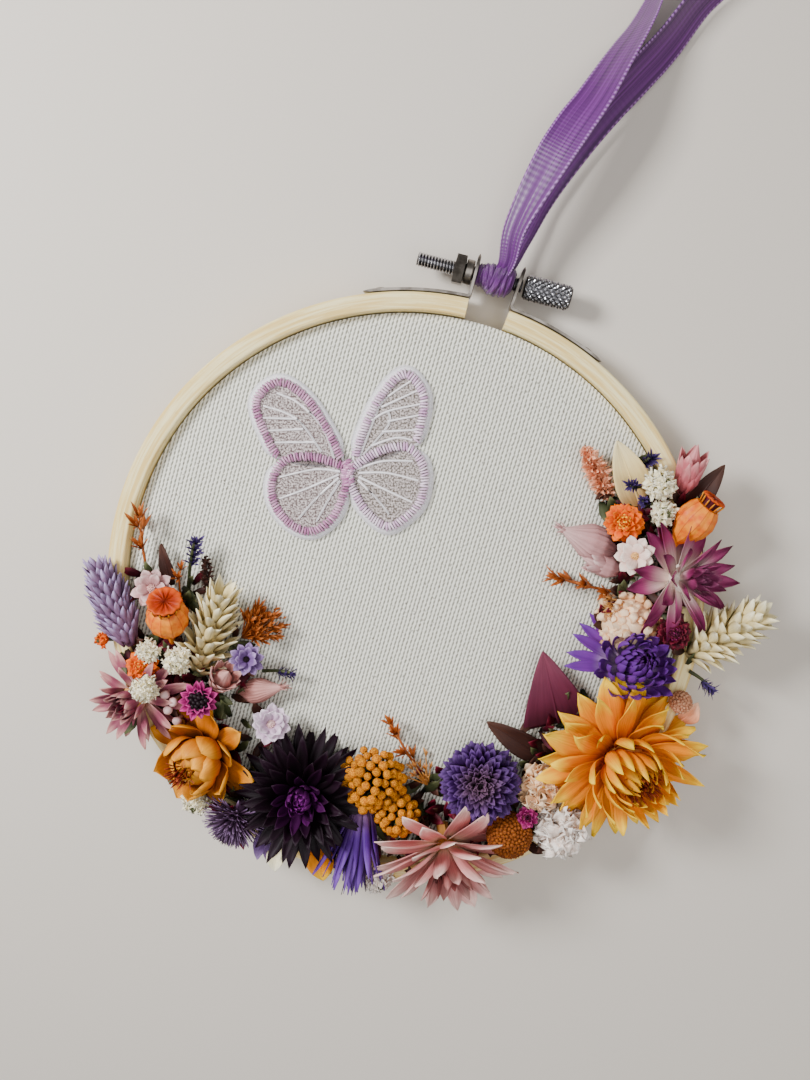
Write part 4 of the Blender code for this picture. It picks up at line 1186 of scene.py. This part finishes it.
STRAWFLOWERS = (
    # name, slot, finish, habit, petals, point, ruffle, unevenness; cup's finish and share of the
    # height; stamens, their finish and where they start
    ("strawflower_gold", "gold", "gold", "gold", 112, 0.85, 0.14, 1.0, "straw", 0.6, 60, "stamen", 0.80),
    ("strawflower_orange", "orange", "amber", "orange", 44, 0.55, 0.06, 1.0, "straw", 0.6,
     34, "stamen", 0.82),
    ("strawflower_mauve", "mauve", "mauve", "barrel", 54, 0.70, 0.06, 1.0, "straw", 0.6, 50, "wine", 0.6),
    ("strawflower_plum", "plum", "plum", "fine", 120, 0.85, 0.10, 1.0, "dark", 0.5, 12, "plum", 0.5),
    ("strawflower_pink", "pink", "pink", "pink", 50, 0.65, 0.05, 1.0, "straw", 0.4, 46, "dark", 0.55),
    ("strawflower_violet", "violet", "violet", "dome", 88, 0.80, 0.08, 1.0, "dark", 0.5,
     20, "dark", 0.66),
    ("strawflower_magenta", "magenta", "magenta", "star", 58, 0.85, 0.05, 1.0, "milk", 0.6,
     40, "magenta", 0.7),
    ("strawflower_violet_low", "violet", "iris", "brush", 84, 0.80, 0.10, 1.6, "iris", 0.4,
     12, "iris", 0.4),
    ("strawflower_blue", "blue", "blue", "pompon", 260, 0.80, 0.05, 1.7, "dark", 0.6, 40, "dark", 0.88),
)


# Petals that stand away from a round flower: their turns round its spine, in degrees
FLARED = {"strawflower_violet": (-56, -40, -26, -12, 2, 16)}
# The petals of a flower that has more of them than this are made with fewer faces
FINE_PETALS = 120


def make_strawflower(name, slot, finish, habit, petals, point, ruffle, uneven, cup_finish, cup,
                     threads, thread_colour, threads_at):
    place, height, radius, chance = place_of(name)
    bm = blank()
    along, across = (5, 2) if petals > FINE_PETALS else (7, 4)
    head(
        bm, place, radius, height, petals, HABITS[habit], chance, point, ruffle, along, across, uneven,
    )
    for turn in FLARED.get(name, ()):
        bract(
            bm, place, math.radians(turn), radius * chance.uniform(1.0, 1.2), radius * 0.24,
            radius * 0.35, height * 0.22, chance.uniform(64, 84), 10, 0.4, chance.random(), 0.0, point,
        )
    settle(bm, name + "_petals", [finished_in(finish)], [name], thickness=0.16)
    make_stalk(name + "_calyx", cup_finish, place, radius * cup / 2, height * cup)
    bm = blank()
    stamens(bm, place, radius * 0.22, height * threads_at, threads, radius * 0.24, 0.5, 34, chance)
    settle(bm, name + "_stamens", [finished_in(thread_colour)], thickness=0.1)


DAISIES = (
    # name, slot, finish, petals, petal width, point, opening, cup, heart finish, heart radius
    ("daisy_pink", "pink", "dusty", 9, 0.62, 0.55, 70, 0.25, "shell", 0.22),
    ("daisy_violet", "lilac", "heather", 10, 0.50, 0.50, 66, 0.35, "dark", 0.20),
    ("daisy_magenta", "magenta", "cerise", 14, 0.40, 0.42, 58, 0.8, "dark", 0.52),
    ("daisy_lilac", "lilac", "pearl", 11, 0.60, 0.50, 64, 0.3, "dusty", 0.22),
    ("daisy_cream", "white", "creampink", 9, 0.62, 0.50, 74, 0.15, "straw", 0.22),
)


def make_daisy(name, slot, finish, petals, width, point, opening, cup, heart, heart_radius):
    """An open flower on a stalk, in two layers of petals."""
    place, height, radius, chance = place_of(name)
    bm = blank()
    for layer in range(2):
        for i in range(petals - 3 * layer):
            turn = math.tau * (i + 0.5 * layer) / (petals - 3 * layer)
            bract(
                bm, place, turn + chance.uniform(-0.1, 0.1),
                radius * (1.02 - 0.22 * layer) * chance.uniform(0.9, 1.05), width * radius,
                radius * 0.10, height * (0.80 + 0.05 * layer),
                opening - 18 * layer + chance.uniform(-7, 7), chance.uniform(2, 22), cup,
                chance.random(), 0.3 * layer, point, 0.08, chance.uniform(-10, 10), along=6, across=4,
            )
    settle(bm, name + "_petals", [finished_in(finish)], [name], thickness=0.14)
    bm = blank()
    heart_at = height * 0.80 + radius * heart_radius * 0.6
    dome(bm, place @ Matrix.Translation((0, 0, heart_at)), radius * heart_radius, 22, chance)
    settle(bm, name + "_heart", [finished_in(heart)])
    make_stalk(name + "_stalk", "green", place, radius * 0.3, height * 0.86, 0.6)


def dome(bm, place, radius, count, chance):
    """A round heart of many small beads."""
    bead = radius * 1.5 / math.sqrt(count)
    for i in range(count):
        t = math.sqrt((i + 0.5) / count)
        spot = round_point(radius * t, i * GOLDEN_TURN, radius * 0.8 * math.sqrt(1 - t * t * 0.9))
        ball(bm, place @ Matrix.Translation(spot), bead * chance.uniform(0.8, 1.15), chance, 1)


def ball(bm, place, radius, chance, detail, lumpy=0.0):
    """A small round body, lumpy if asked."""
    layer = bm.verts.layers.float_color[COURSE]
    made = bmesh.ops.create_icosphere(bm, subdivisions=detail, radius=radius)["verts"]
    shade = chance.random()
    shift = Vector((shade * 50, 0, 0))
    for vert in made:
        if lumpy:
            vert.co *= 1 + lumpy * noise.noise(vert.co * 2.2 / radius + shift)
        vert[layer] = (0.5 + vert.co.z / radius / 2, 0.5, shade, 0)
    bmesh.ops.transform(bm, matrix=place, verts=made)


def scattered(count, spread):
    """Directions spread evenly over a cap of that many degrees round Z, with each one's turn."""
    for i in range(count):
        tilt = math.acos(1 - (1 - math.cos(math.radians(spread))) * (i + 0.5) / count)
        yield tilt, i * GOLDEN_TURN


def leaning(place, tilt, turn, out):
    """A place tilted away from another's Z, out by some length from its origin."""
    aim = Matrix.Rotation(turn, 4, "Z") @ Matrix.Rotation(tilt, 4, "Y")
    return place @ aim @ Matrix.Translation((0, 0, out))


def make_tuft(name, finish, florets, petals):
    """Small frilled florets over a dome."""
    place, height, radius, chance = place_of(name)
    middle = place @ Matrix.Translation((0, 0, height - radius * 0.9))
    bm = blank()
    ball(bm, middle, radius * 0.62, chance, 2, lumpy=0.2)
    for tilt, turn in scattered(florets, 100):
        floret = leaning(middle, tilt, turn, radius * 0.46 * chance.uniform(0.7, 1.3))
        for i in range(petals):
            bract(
                bm, floret, math.tau * i / petals + chance.uniform(-0.3, 0.3),
                radius * 0.52 * chance.uniform(0.7, 1.2), radius * 0.32, radius * 0.02, 0,
                chance.uniform(15, 75), chance.uniform(-15, 35), 0.4, chance.random(), 0.0,
                point=0.5, ruffle=0.3, twist=chance.uniform(-25, 25), along=3, across=2,
            )
    settle(bm, name + "_florets", [finished_in(finish)], [name], thickness=0.12)
    make_stalk(name + "_stalk", "green", place, radius * 0.5, height * 0.9, 0.6)


def make_button(name, finish, petals, heart):
    place, height, radius, chance = place_of(name)
    bm = blank()
    head(bm, place, radius, height, petals, HABITS["button"], chance, 0.6, 0.2, along=5, across=3)
    settle(bm, name + "_petals", [finished_in(finish)], [name], thickness=0.14)
    bm = blank()
    dome(bm, place @ Matrix.Translation((0, 0, height * 0.80)), radius * 0.34, 26, chance)
    settle(bm, name + "_heart", [finished_in(heart)])
    make_stalk(name + "_stalk", "green", place, radius * 0.45, height * 0.82, 0.8)


POPPY_RAYS = 12


def make_poppy(name, crown_share):
    """A dry seed head: a ribbed body and a scalloped crown with its rays, and under it a dark core that
    stands in for the shade in its windows.
    """
    place, height, radius, chance = place_of(name)
    bm = blank()
    rows = (
        (0, 0), (0, 0.9), (height * 0.22, 1.0), (height * 0.34, radius * 0.62),
        (height * 0.50, radius * 0.93), (height * 0.64, radius), (height * 0.76, radius * 0.86),
        (height * 0.84, radius * 0.66), (height * 0.86, 0),
    )
    turned(bm, place, rows, sides=60, along=24, ribs=POPPY_RAYS, rib_depth=0.06)
    settle(bm, name + "_body", [pod_finish("pod_" + name)], [name])
    crown = radius * crown_share
    bm = blank()

    def disc(s, a):
        angle = math.pi * s
        scallop = 1 - 0.07 * abs(math.cos(POPPY_RAYS / 2 * angle)) * a
        ray = 0.28 * max(0, math.cos(POPPY_RAYS * angle)) * (1 - a) ** 0.3 * min(1, 6 * a)
        dish = -0.5 * (1 - a * a)
        return place @ round_point(crown * a * scallop, angle, height * 0.97 + dish + ray * 1.4)

    patch(bm, 96, 10, disc, chance=0.4, wrap=True)
    settle(bm, name + "_crown", [finished_in("crown")], thickness=0.5)
    bm = blank()
    for i in range(POPPY_RAYS):
        turn = math.tau * i / POPPY_RAYS
        bract(bm, place, turn, height * 0.14, crown * 0.12, crown * 0.80, height * 0.82, 12, 6, 0,
              0.9, 0, along=3, across=1)
    settle(bm, name + "_struts", [finished_in("amber")], thickness=0.3)
    # A dark core under the crown: painted shade for the openings below it.
    bm = blank()
    turned(bm, place, ((height * 0.80, 0), (height * 0.80, crown * 0.7), (height * 0.95, crown * 0.78),
                       (height * 0.95, 0)), sides=32)
    settle(bm, name + "_window_shade", [finished_in("wine")])


def pod_finish(name):
    finish = Finish(name, Roughness=0.5, Specular_IOR_Level=0.4)
    around = finish.course()[1]
    mottle = finish.noise(finish.millimetres(), 0.5, 4.0)
    seam = ((around * POPPY_RAYS).fraction() - 0.5).size().rise(0.40, 0.50)
    colour = finish.mix(mottle.rise(0.3, 0.7), srgb(232, 120, 12), srgb(252, 170, 50))
    colour = finish.mix(seam * 0.6, colour, srgb(190, 88, 20))
    finish.set(Base_Color=colour)
    finish.bump(mottle + seam * 0.4, 0.4, 0.15)
    return finish.material


def make_canary(name, finish, scales, size, width, opening):
    """A seed head of overlapping boat-shaped scales."""
    place, height, radius, chance = place_of(name)
    bm = blank()
    for i in range(scales):
        t = (i + 0.5) / scales
        swell = math.sin(math.pi * min(0.12 + t * 0.80, 1)) ** 0.6
        bract(
            bm, place, i * GOLDEN_TURN, size * chance.uniform(0.85, 1.15), size * width,
            radius * 0.42 * swell, height * t * 0.80,
            opening * (1 - 0.55 * t) * chance.uniform(0.8, 1.2), chance.uniform(-14, 4), 0.75,
            chance.random(), 0.0, 1.0, 0.05, chance.uniform(-12, 12), along=6, across=4,
        )
    settle(bm, name + "_scales", [finished_in(finish)], [name], thickness=0.16)
    bm = blank()
    rows = ((0, 0), (0, 0.8), (height * 0.12, radius * 0.4), (height * 0.5, radius * 0.5),
            (height * 0.85, radius * 0.25), (height * 0.92, 0))
    turned(bm, place, rows, sides=10)
    settle(bm, name + "_rachis", [finished_in(finish)])


def spikes(bm, place, count, length, width, opening, chance, curl=(-6, 16), up=0.0):
    """A tuft of narrow blades, each starting somewhere up to a height."""
    for i in range(count):
        bract(
            bm, place, i * GOLDEN_TURN, length * chance.uniform(0.6, 1.1), width, 0.15,
            up * chance.random(), opening * math.sqrt((i + 0.5) / count) + chance.uniform(-5, 5),
            chance.uniform(*curl), 0.5, chance.random(), 0.0, along=4, across=2,
        )


def bent_stem(place, height, bow, chance):
    """Points up a slightly crooked stem."""
    points = []
    for i in range(7):
        t = i / 6
        sway = Vector((math.sin(2.4 * t) * bow, chance.uniform(-0.12, 0.12), height * t))
        points.append(place @ sway)
    return points


def make_sprig(name, shoots, blade, thick=0.45):
    """A rust-coloured stem with spiky tufts at its tip and on short side shoots."""
    place, height, radius, chance = place_of(name)
    bm = blank()
    stem = bent_stem(place, height * 0.86, 0.8, chance)
    tube(bm, stem, thick, thick * 0.6, sides=6, chance=0.4)
    for share, lean, reach in shoots:
        turn = chance.uniform(-0.4, 0.4) + (math.pi / 2 if lean > 0 else -math.pi / 2)
        root = place @ Matrix.Translation((math.sin(2.4 * share) * 0.7, 0, height * share * 0.86))
        shoot = leaning(root, math.radians(abs(lean)), turn, 0)
        if reach > 0:
            points = [shoot @ Vector((0, 0, reach * step / 3)) for step in range(4)]
            tube(bm, points, thick * 0.7, thick * 0.4, sides=5, chance=0.5)
        spikes(bm, shoot @ Matrix.Translation((0, 0, reach)), 9, blade, blade * 0.2, 34, chance)
    settle(bm, name + "_sprig", [finished_in("rust")], [name])


def make_lavender(name, finish, whorls, blade, opening=60):
    """A dark stem with whorls of narrow buds."""
    place, height, radius, chance = place_of(name)
    bm = blank()
    for i in range(whorls):
        whorl = place @ Matrix.Translation((0, 0, height * (0.52 + 0.40 * i / max(whorls - 1, 1))))
        spikes(bm, whorl, 10, blade, blade * 0.26, opening, chance, (-20, 10))
    settle(bm, name + "_buds", [finished_in(finish)], [name])
    bm = blank()
    tube(bm, bent_stem(place, height * 0.94, 0.5, chance), 0.5, 0.35, sides=6)
    settle(bm, name + "_stem", [finished_in("green")])


def make_spray(name, finish, count, blade):
    """A loose brush of fine tips on thin stems."""
    place, height, radius, chance = place_of(name)
    bm = blank()
    for i in range(count):
        tilt = math.radians(34 * math.sqrt((i + 0.5) / count))
        ray = leaning(place, tilt, i * GOLDEN_TURN, 0)
        reach = height * chance.uniform(0.55, 0.85)
        tube(bm, [ray @ Vector((0, 0, reach * step / 3)) for step in range(4)], 0.25, 0.16, sides=5)
        spikes(bm, ray @ Matrix.Translation((0, 0, reach)), 6, blade, blade * 0.2, 26, chance)
    settle(bm, name + "_spray", [finished_in(finish)], [name])


def make_thistle(name):
    place, height, radius, chance = place_of(name)
    bm = blank()
    head(bm, place, radius, height, 330, HABITS["thistle"], chance, 0.7, 0.0, along=5, across=1)
    settle(bm, name + "_bristles", [finished_in("bristle")], [name], thickness=0.14)
    make_stalk(name + "_cup", "bristle", place, radius * 0.45, height * 0.5)


def make_bud(name, finish, bracts_round, ribs, open_tip=0.0):
    """A closed bud: a ribbed body, and long scales lying on it, or else a ragged tuft at its tip."""
    place, height, radius, chance = place_of(name)
    bm = blank()
    rows = ((0, 0), (0, 0.7), (height * 0.12, radius * 0.55), (height * 0.32, radius * 0.92),
            (height * 0.50, radius * 0.90), (height * 0.70, radius * 0.52), (height * 0.90, radius * 0.15),
            (height * 0.98, 0))
    turned(bm, place, rows, sides=72, along=28, ribs=ribs, rib_depth=0.08)
    if not bracts_round:
        tuft = place @ Matrix.Translation((0, 0, height * 0.78))
        spikes(bm, tuft, 9, height * 0.3, radius * 0.14, 26, chance)
    settle(bm, name + "_body", [finished_in(finish)], [name])
    if not bracts_round:
        return
    bm = blank()
    for layer in range(3):
        for i in range(bracts_round):
            bract(
                bm, place, math.tau * (i + layer * 0.37) / bracts_round + chance.uniform(-0.1, 0.1),
                height * (0.62 - 0.08 * layer), radius * 0.85, radius * (0.55 + 0.08 * layer),
                height * (0.10 + 0.15 * layer), 18 + open_tip * 0.4, -34 + open_tip, 0.45,
                chance.random(), 0.0, 0.9, 0.03, along=7, across=4,
            )
    settle(bm, name + "_scales", [finished_in(finish)], thickness=0.14)


LEAVES = (
    # name, slot, finish, width, fold, droop, taper: 0 for an oval blade, 1 for a triangle
    ("leaf_plum", "wine", "plumleaf", 20.0, 0.06, 1.2, 0.9),
    ("leaf_brown", "wine", "brownleaf", 7.0, 0.25, 0.5, 0.0),
    ("leaf_blush", "blush", "nudeleaf", 9.6, 0.22, 0.6, 0.1),
    ("leaf_dark", "wine", "brownleaf", 7.0, 0.30, 0.4, 0.3),
    ("leaf_left_small", "wine", "brownleaf", 3.6, 0.30, 0.5, 0.0),
    ("petal_white", "white", "ivory", 5.0, 0.50, 0.8, 0.0),
    ("petal_beige", "blush", "peach", 5.0, 0.50, 0.8, 0.0),
    ("petal_lilac", "lilac", "heather", 3.6, 0.60, 1.0, 0.0),
    ("petal_lilac_low", "lilac", "heather", 3.2, 0.60, 1.0, 0.0),
    ("petal_orange", "orange", "gold", 7.4, 0.50, 1.0, 0.0),
)


def make_leaf(name, slot, finish, width, fold, droop, taper):
    """A dry leaf, folded a little along its rib, lying towards its tip."""
    foot, tip = (Vector(end) for end in SPOTS[name][:2])
    along = tip - foot
    run = along.normalized()
    side = run.cross(Vector((0, 0, 1))).normalized()
    face = side.cross(run).normalized()
    bm = blank()

    def shape(s, a):
        oval = math.sin(math.pi * min(0.10 + 0.90 * a ** 0.85, 1)) ** 0.72
        spread = oval * (1 - taper) + (1 - a) ** 0.85 * taper
        half = width / 2 * max(spread, 0.01)
        rib = fold * abs(s) * half + 0.25 * math.sin(9 * a + 3 * s) * abs(s)
        arch = droop * math.sin(math.pi * a)
        return foot + along * a + side * half * s + face * (rib + arch)

    patch(bm, 14, 22, shape, chance=0.5)
    settle(bm, name + "_blade", [finished_in(finish)], [name], thickness=0.3)
    bm = blank()
    ribs = [foot + along * t + face * (droop * math.sin(math.pi * t) + 0.1) for t in
            (0.0, 0.2, 0.4, 0.6, 0.8, 0.94)]
    tube(bm, ribs, 0.42, 0.1, sides=6)
    settle(bm, name + "_rib", [finished_in(finish)])


TANSY_LOBES = (
    # foot, middle, radius, florets
    ((-6.4, -50.6, ON_CLOTH), (-7.4, -47.8, 15.0), 8.2, 66),
    ((-3.4, -55.8, ON_CLOTH), (-1.2, -57.0, 15.5), 5.6, 32),
)


def make_tansy():
    """Two packed lobes of round yellow florets on short stalks."""
    chance = random.Random("tansy")
    bm = blank()
    stalks = blank()
    for foot, middle, radius, florets in TANSY_LOBES:
        root = Vector(foot)
        for tilt, turn in scattered(florets, 96):
            spot = leaning(Matrix.Translation(middle), tilt, turn, radius * chance.uniform(0.86, 1.02))
            ball(bm, spot, chance.uniform(1.05, 1.4), chance, 2, lumpy=0.22)
            tube(stalks, [root, root.lerp(spot.translation, 0.5), spot.translation], 0.5, 0.4, sides=5)
    settle(bm, "tansy_florets", [button_finish()], ["tansy"])
    settle(stalks, "tansy_stalks", [finished_in("green")])


def button_finish():
    finish = Finish("tansy_yellow", Roughness=0.75, Specular_IOR_Level=0.3)
    chance = finish.course()[2]
    grit = finish.cells(finish.millimetres(), 3.4)
    colour = finish.mix(grit.rise(0.1, 0.75), srgb(252, 190, 22), srgb(190, 118, 6))
    finish.set(Base_Color=finish.shaded(colour, 0.8 + chance * 0.4))
    finish.bump(1 - grit, 0.8, 0.2)
    return finish.material


def make_granular(name, finish, grain, count, lumpy=0.0):
    """A ball covered with small grains."""
    place, height, radius, chance = place_of(name)
    middle = place @ Matrix.Translation((0, 0, height - radius))
    bm = blank()
    ball(bm, middle, radius * 0.9, chance, 3)
    for tilt, turn in scattered(count, 130):
        spot = leaning(middle, tilt, turn, radius * (0.93 + lumpy * chance.uniform(-0.4, 0.2)))
        ball(bm, spot, grain * chance.uniform(0.8, 1.2), chance, 2 if lumpy else 1, lumpy)
    calyx(bm, place, radius * 0.5, max(height - radius, 0.5), foot=1.0)
    settle(bm, name + "_grains", [finish], [name])


def make_fluff(name, finish, petals, size):
    """Crumpled soft petals over a low dome."""
    place, height, radius, chance = place_of(name)
    middle = place @ Matrix.Translation((0, 0, height - radius * 0.8))
    bm = blank()
    for tilt, turn in scattered(petals, 105):
        spot = leaning(middle, tilt, turn, radius * chance.uniform(0.45, 0.75))
        bract(
            bm, spot, chance.uniform(0, math.tau), size * chance.uniform(0.7, 1.2),
            size * chance.uniform(0.7, 1.0), 0, 0, chance.uniform(10, 80), chance.uniform(-30, 40),
            chance.uniform(-0.3, 0.6), chance.random(), 0.0, 0.45, 0.45,
            chance.uniform(-40, 40), along=5, across=4,
        )
    settle(bm, name + "_petals", [finished_in(finish)], [name], thickness=0.14)
    make_stalk(name + "_stalk", finish, place, radius * 0.55, height * 0.75, 0.9)


def make_plume(name, finish, count, blade):
    """A soft spike of tiny curled florets."""
    place, height, radius, chance = place_of(name)
    bm = blank()
    for i in range(count):
        t = (i + 0.5) / count
        swell = math.sin(math.pi * min(0.15 + 0.80 * t, 1)) ** 0.7
        spot = leaning(place @ Matrix.Translation((0, 0, height * 0.95 * t)),
                       math.radians(52), i * GOLDEN_TURN, radius * 0.25 * swell)
        spikes(bm, spot, 4, blade * swell * 1.1, blade * 0.34, 44, chance, (-40, 40))
    settle(bm, name + "_florets", [finished_in(finish)], [name])
    bm = blank()
    tube(bm, bent_stem(place, height * 0.9, 0.4, chance), 0.7, 0.4, sides=6)
    settle(bm, name + "_stem", [finished_in(finish)])


# Dark leaves laid as painted shade along the crescent under the flowers: how many, between which angles
# and how far out.
SHADE_LEAF_COUNT = 110
SHADE_LEAF_ANGLES = (-180, 20)
SHADE_LEAF_RADII = (57, 72)


def make_shade_leaves():
    """Small dark dry leaves that fill the gaps under the flowers: a dark layer of painted shade between
    them.
    """
    chance = random.Random("foliage")
    for finish in ("brownleaf", "wine", "green"):
        bm = blank()
        spots = []
        for foot, tip, radius in FLOWERS.values():
            for i in range(5 if radius > 8 else 2):
                turn = chance.uniform(0, math.tau)
                reach = radius * chance.uniform(0.2, 0.9)
                spots.append((foot[0] + reach * math.cos(turn), foot[1] + reach * math.sin(turn)))
        for i in range(SHADE_LEAF_COUNT):
            turn = math.radians(chance.uniform(*SHADE_LEAF_ANGLES))
            reach = chance.uniform(*SHADE_LEAF_RADII)
            spots.append((reach * math.cos(turn), reach * math.sin(turn)))
        for x, y in spots:
            out = math.hypot(x, y)
            if out > HOOP_RADIUS - 1 or out < 40:
                continue
            spot = Vector((x, y, ON_RING if out > HOOP_RADIUS - BAND else ON_CLOTH))
            bract(
                bm, Matrix.Translation(spot), chance.uniform(0, math.tau),
                chance.uniform(4.5, 8.0), chance.uniform(1.6, 3.0), 0, 0, chance.uniform(40, 74),
                chance.uniform(-8, 8), 0.3, chance.random(), 0.0, 0.9, 0.1,
                chance.uniform(-20, 20), along=5, across=2,
            )
        settle(bm, "foliage_" + finish, [finished_in(finish)], thickness=0.14)


def make_trims():
    """The scraps of sprigs, tufts and buds between the flowers."""
    make_sprig("sprig_left_small", ((0.98, 8, 0), (0.6, 30, 1.0)), 3.4, 0.3)
    make_plume("plume_brown", "brownleaf", 34, 1.7)
    make_lavender("lavender_dark", "lavender", 3, 2.6)
    make_tuft("tuft_orange_left", "orange", 9, 6)
    make_tuft("fuzz_cream", "ivory", 18, 8)
    make_tuft("fuzz_white", "milk", 18, 8)
    make_spray("spray_bottom", "straw", 9, 2.6)
    make_bud("bud_pink_low", "dusty", 5, 8, open_tip=6)
    make_spray("spray_right", "straw", 9, 2.4)
    make_lavender("lavender_low", "lavender", 4, 2.8, 70)
    make_lavender("lavender_clump", "lavender", 3, 2.4, 70)
    make_lavender("lavender_mid", "lavender", 3, 2.2, 70)
    make_granular("ball_blush", grain_finish("blush_grain", srgb(196, 140, 110),
                                                      srgb(240, 200, 170)), 0.5, 90)
    bm = blank()
    chance = random.Random("mauve buds")
    for x, y, z in ((-60.7, -23.8, 20), (-58.7, -25.7, 20), (-60.1, -27.9, 20), (-58.5, -31.5, 18)):
        ball(bm, Matrix.Translation((x, y, z)), 1.25, chance, 2, lumpy=0.15)
        tube(bm, [Vector((x - 1, y - 1, ON_CLOTH)), Vector((x, y, z))], 0.5, 0.4, sides=5)
    settle(bm, "buds_mauve", [finished_in("dusty")])


def make_flowers():
    for row in STRAWFLOWERS:
        make_strawflower(*row)
    for row in DAISIES:
        make_daisy(*row)
    for name in ("tuft_white_upper", "tuft_white_inner", "tuft_white_lower", "tuft_white_high",
                 "tuft_white_low"):
        make_tuft(name, "ivory", 18, 7)
    make_button("button_orange_left", "orange", 44, "amber")
    make_button("button_orange_right", "orange", 52, "gold")
    make_button("bud_magenta", "cerise", 34, "wine")
    make_button("berries", "wine", 60, "cerise")
    make_poppy("poppy_left", 0.82)
    make_poppy("poppy_right", 0.62)
    make_canary("canary_lilac", "lilac", 130, 6.5, 0.30, 30)
    make_canary("canary_cream_left", "cream", 76, 8.6, 0.30, 46)
    make_canary("canary_cream_right", "cream", 72, 7.4, 0.42, 54)
    make_sprig("sprig_left", ((0.98, 8, 0), (0.80, 34, 2.2), (0.66, -38, 3.0), (0.48, 30, 1.5)), 5.2)
    make_sprig("sprig_bottom", ((0.98, 8, 0), (0.82, 36, 1.5), (0.66, -36, 2.0), (0.5, 34, 2.0),
                                (0.34, -34, 2.0)), 4.6)
    make_sprig("sprig_right", ((0.98, 8, 0), (0.84, 34, 1.5), (0.68, -36, 2.0), (0.52, 36, 2.2),
                               (0.36, -34, 2.4), (0.2, 34, 2.0)), 4.6)
    make_lavender("lavender_left", "lavender", 4, 3.4, 78)
    make_lavender("lavender_right", "lavender", 4, 2.8)
    make_spray("spray_rust", "rust", 30, 4.0)
    make_thistle("thistle_grey")
    make_bud("bud_open", "shell", 6, 8, open_tip=16)
    make_bud("bud_striated", "shell", 0, 24)
    make_bud("bud_striped", "dusty", 0, 20)
    make_bud("bud_pink_right", "rose", 5, 10, open_tip=10)
    for row in LEAVES:
        make_leaf(*row)
    make_tansy()
    make_granular("ball_gold", grain_finish("gold_grain", srgb(120, 66, 22), srgb(198, 128, 48)),
                  0.62, 320)
    make_fluff("fluff_blush", "blush", 90, 3.6)
    make_fluff("fluff_white", "milk", 120, 4.0)
    make_granular("statice", finished_in("blush"), 1.15, 150, 0.7)
    make_plume("plume_peach", "peach", 80, 3.0)


def make_stage():
    """A pale floor and soft studio light from the upper left."""
    floor = bmesh.new()
    bmesh.ops.create_grid(floor, x_segments=1, y_segments=1, size=1.2)
    mesh = bpy.data.meshes.new("floor")
    floor.to_mesh(mesh)
    floor.free()
    finish = Finish("floor", Roughness=0.9, Specular_IOR_Level=0.1, Base_Color=srgb(226, 220, 212))
    mesh.materials.append(finish.material)
    ground = bpy.data.objects.new("floor", mesh)
    ground.location.z = -0.0004
    bpy.context.scene.collection.objects.link(ground)
    for name, at, size, power in LIGHTS:
        light = bpy.data.lights.new(name, "AREA")
        light.size = size * MM
        light.energy = power
        lamp = bpy.data.objects.new(name, light)
        lamp.location = TO_ROW @ Vector(at)
        aim = CENTRE - lamp.location
        lamp.rotation_euler = aim.to_track_quat("-Z", "Y").to_euler()
        bpy.context.scene.collection.objects.link(lamp)
    world = bpy.data.worlds.new("studio")
    world.use_nodes = True
    sky = world.node_tree.nodes["Background"]
    sky.inputs["Color"].default_value = SKY
    sky.inputs["Strength"].default_value = SKY_STRENGTH
    bpy.context.scene.world = world


def make_camera():
    lens = bpy.data.cameras.new("camera")
    lens.sensor_width = SENSOR
    lens.lens = SENSOR / 2 / math.tan(math.radians(PICTURE_ANGLE / 2))
    lens.clip_start = 0.01
    camera = bpy.data.objects.new("camera", lens)
    tilt = Matrix.Rotation(math.radians(CAMERA_TILT), 3, "X")
    pan = Matrix.Rotation(math.radians(CAMERA_PAN), 3, "Y")
    camera.matrix_world = (pan @ tilt).transposed().to_4x4()
    camera.location = TO_ROW @ CAMERA_AT
    bpy.context.scene.collection.objects.link(camera)
    bpy.context.scene.camera = camera


make_camera()
make_stage()
beech = beech_finish()
outer_section = rounded_section(HOOP_RADIUS - BAND, HOOP_RADIUS, BAND_LOW, BAND_TOP, BAND_ROUND)
inner_section = rounded_section(INNER_RADIUS - INNER_BAND, INNER_RADIUS, 0, INNER_TOP, INNER_ROUND)
make_ring("outer_ring", outer_section, SPLIT_AT + SPLIT / 2, 360 - SPLIT, beech)
make_ring("inner_ring", inner_section, 0, 360, beech)
make_canvas(canvas_finish())
steel = steel_finish()
make_screw(nickel_finish())
make_nut(steel)
make_bracket("bracket_left", 96.5, SPLIT_AT + SPLIT / 2, 75.0, 93.5, steel)
make_bracket("bracket_right", 50.0, SPLIT_AT - SPLIT / 2, 70.0, 53.0, steel)
make_ribbon(satin_finish())
make_butterfly(
    organza_finish("sheer_light", srgb(132, 122, 112), 0.55),
    organza_finish("sheer_shade", srgb(130, 112, 110), 0.62),
    thread_finish("thread_light", srgb(250, 236, 248), srgb(218, 178, 214)),
    thread_finish("thread_dark", srgb(236, 196, 222), srgb(182, 118, 164)),
    thread_finish("thread_vein", srgb(255, 252, 255), srgb(250, 244, 250)),
)
make_flowers()
make_trims()
make_shade_leaves()
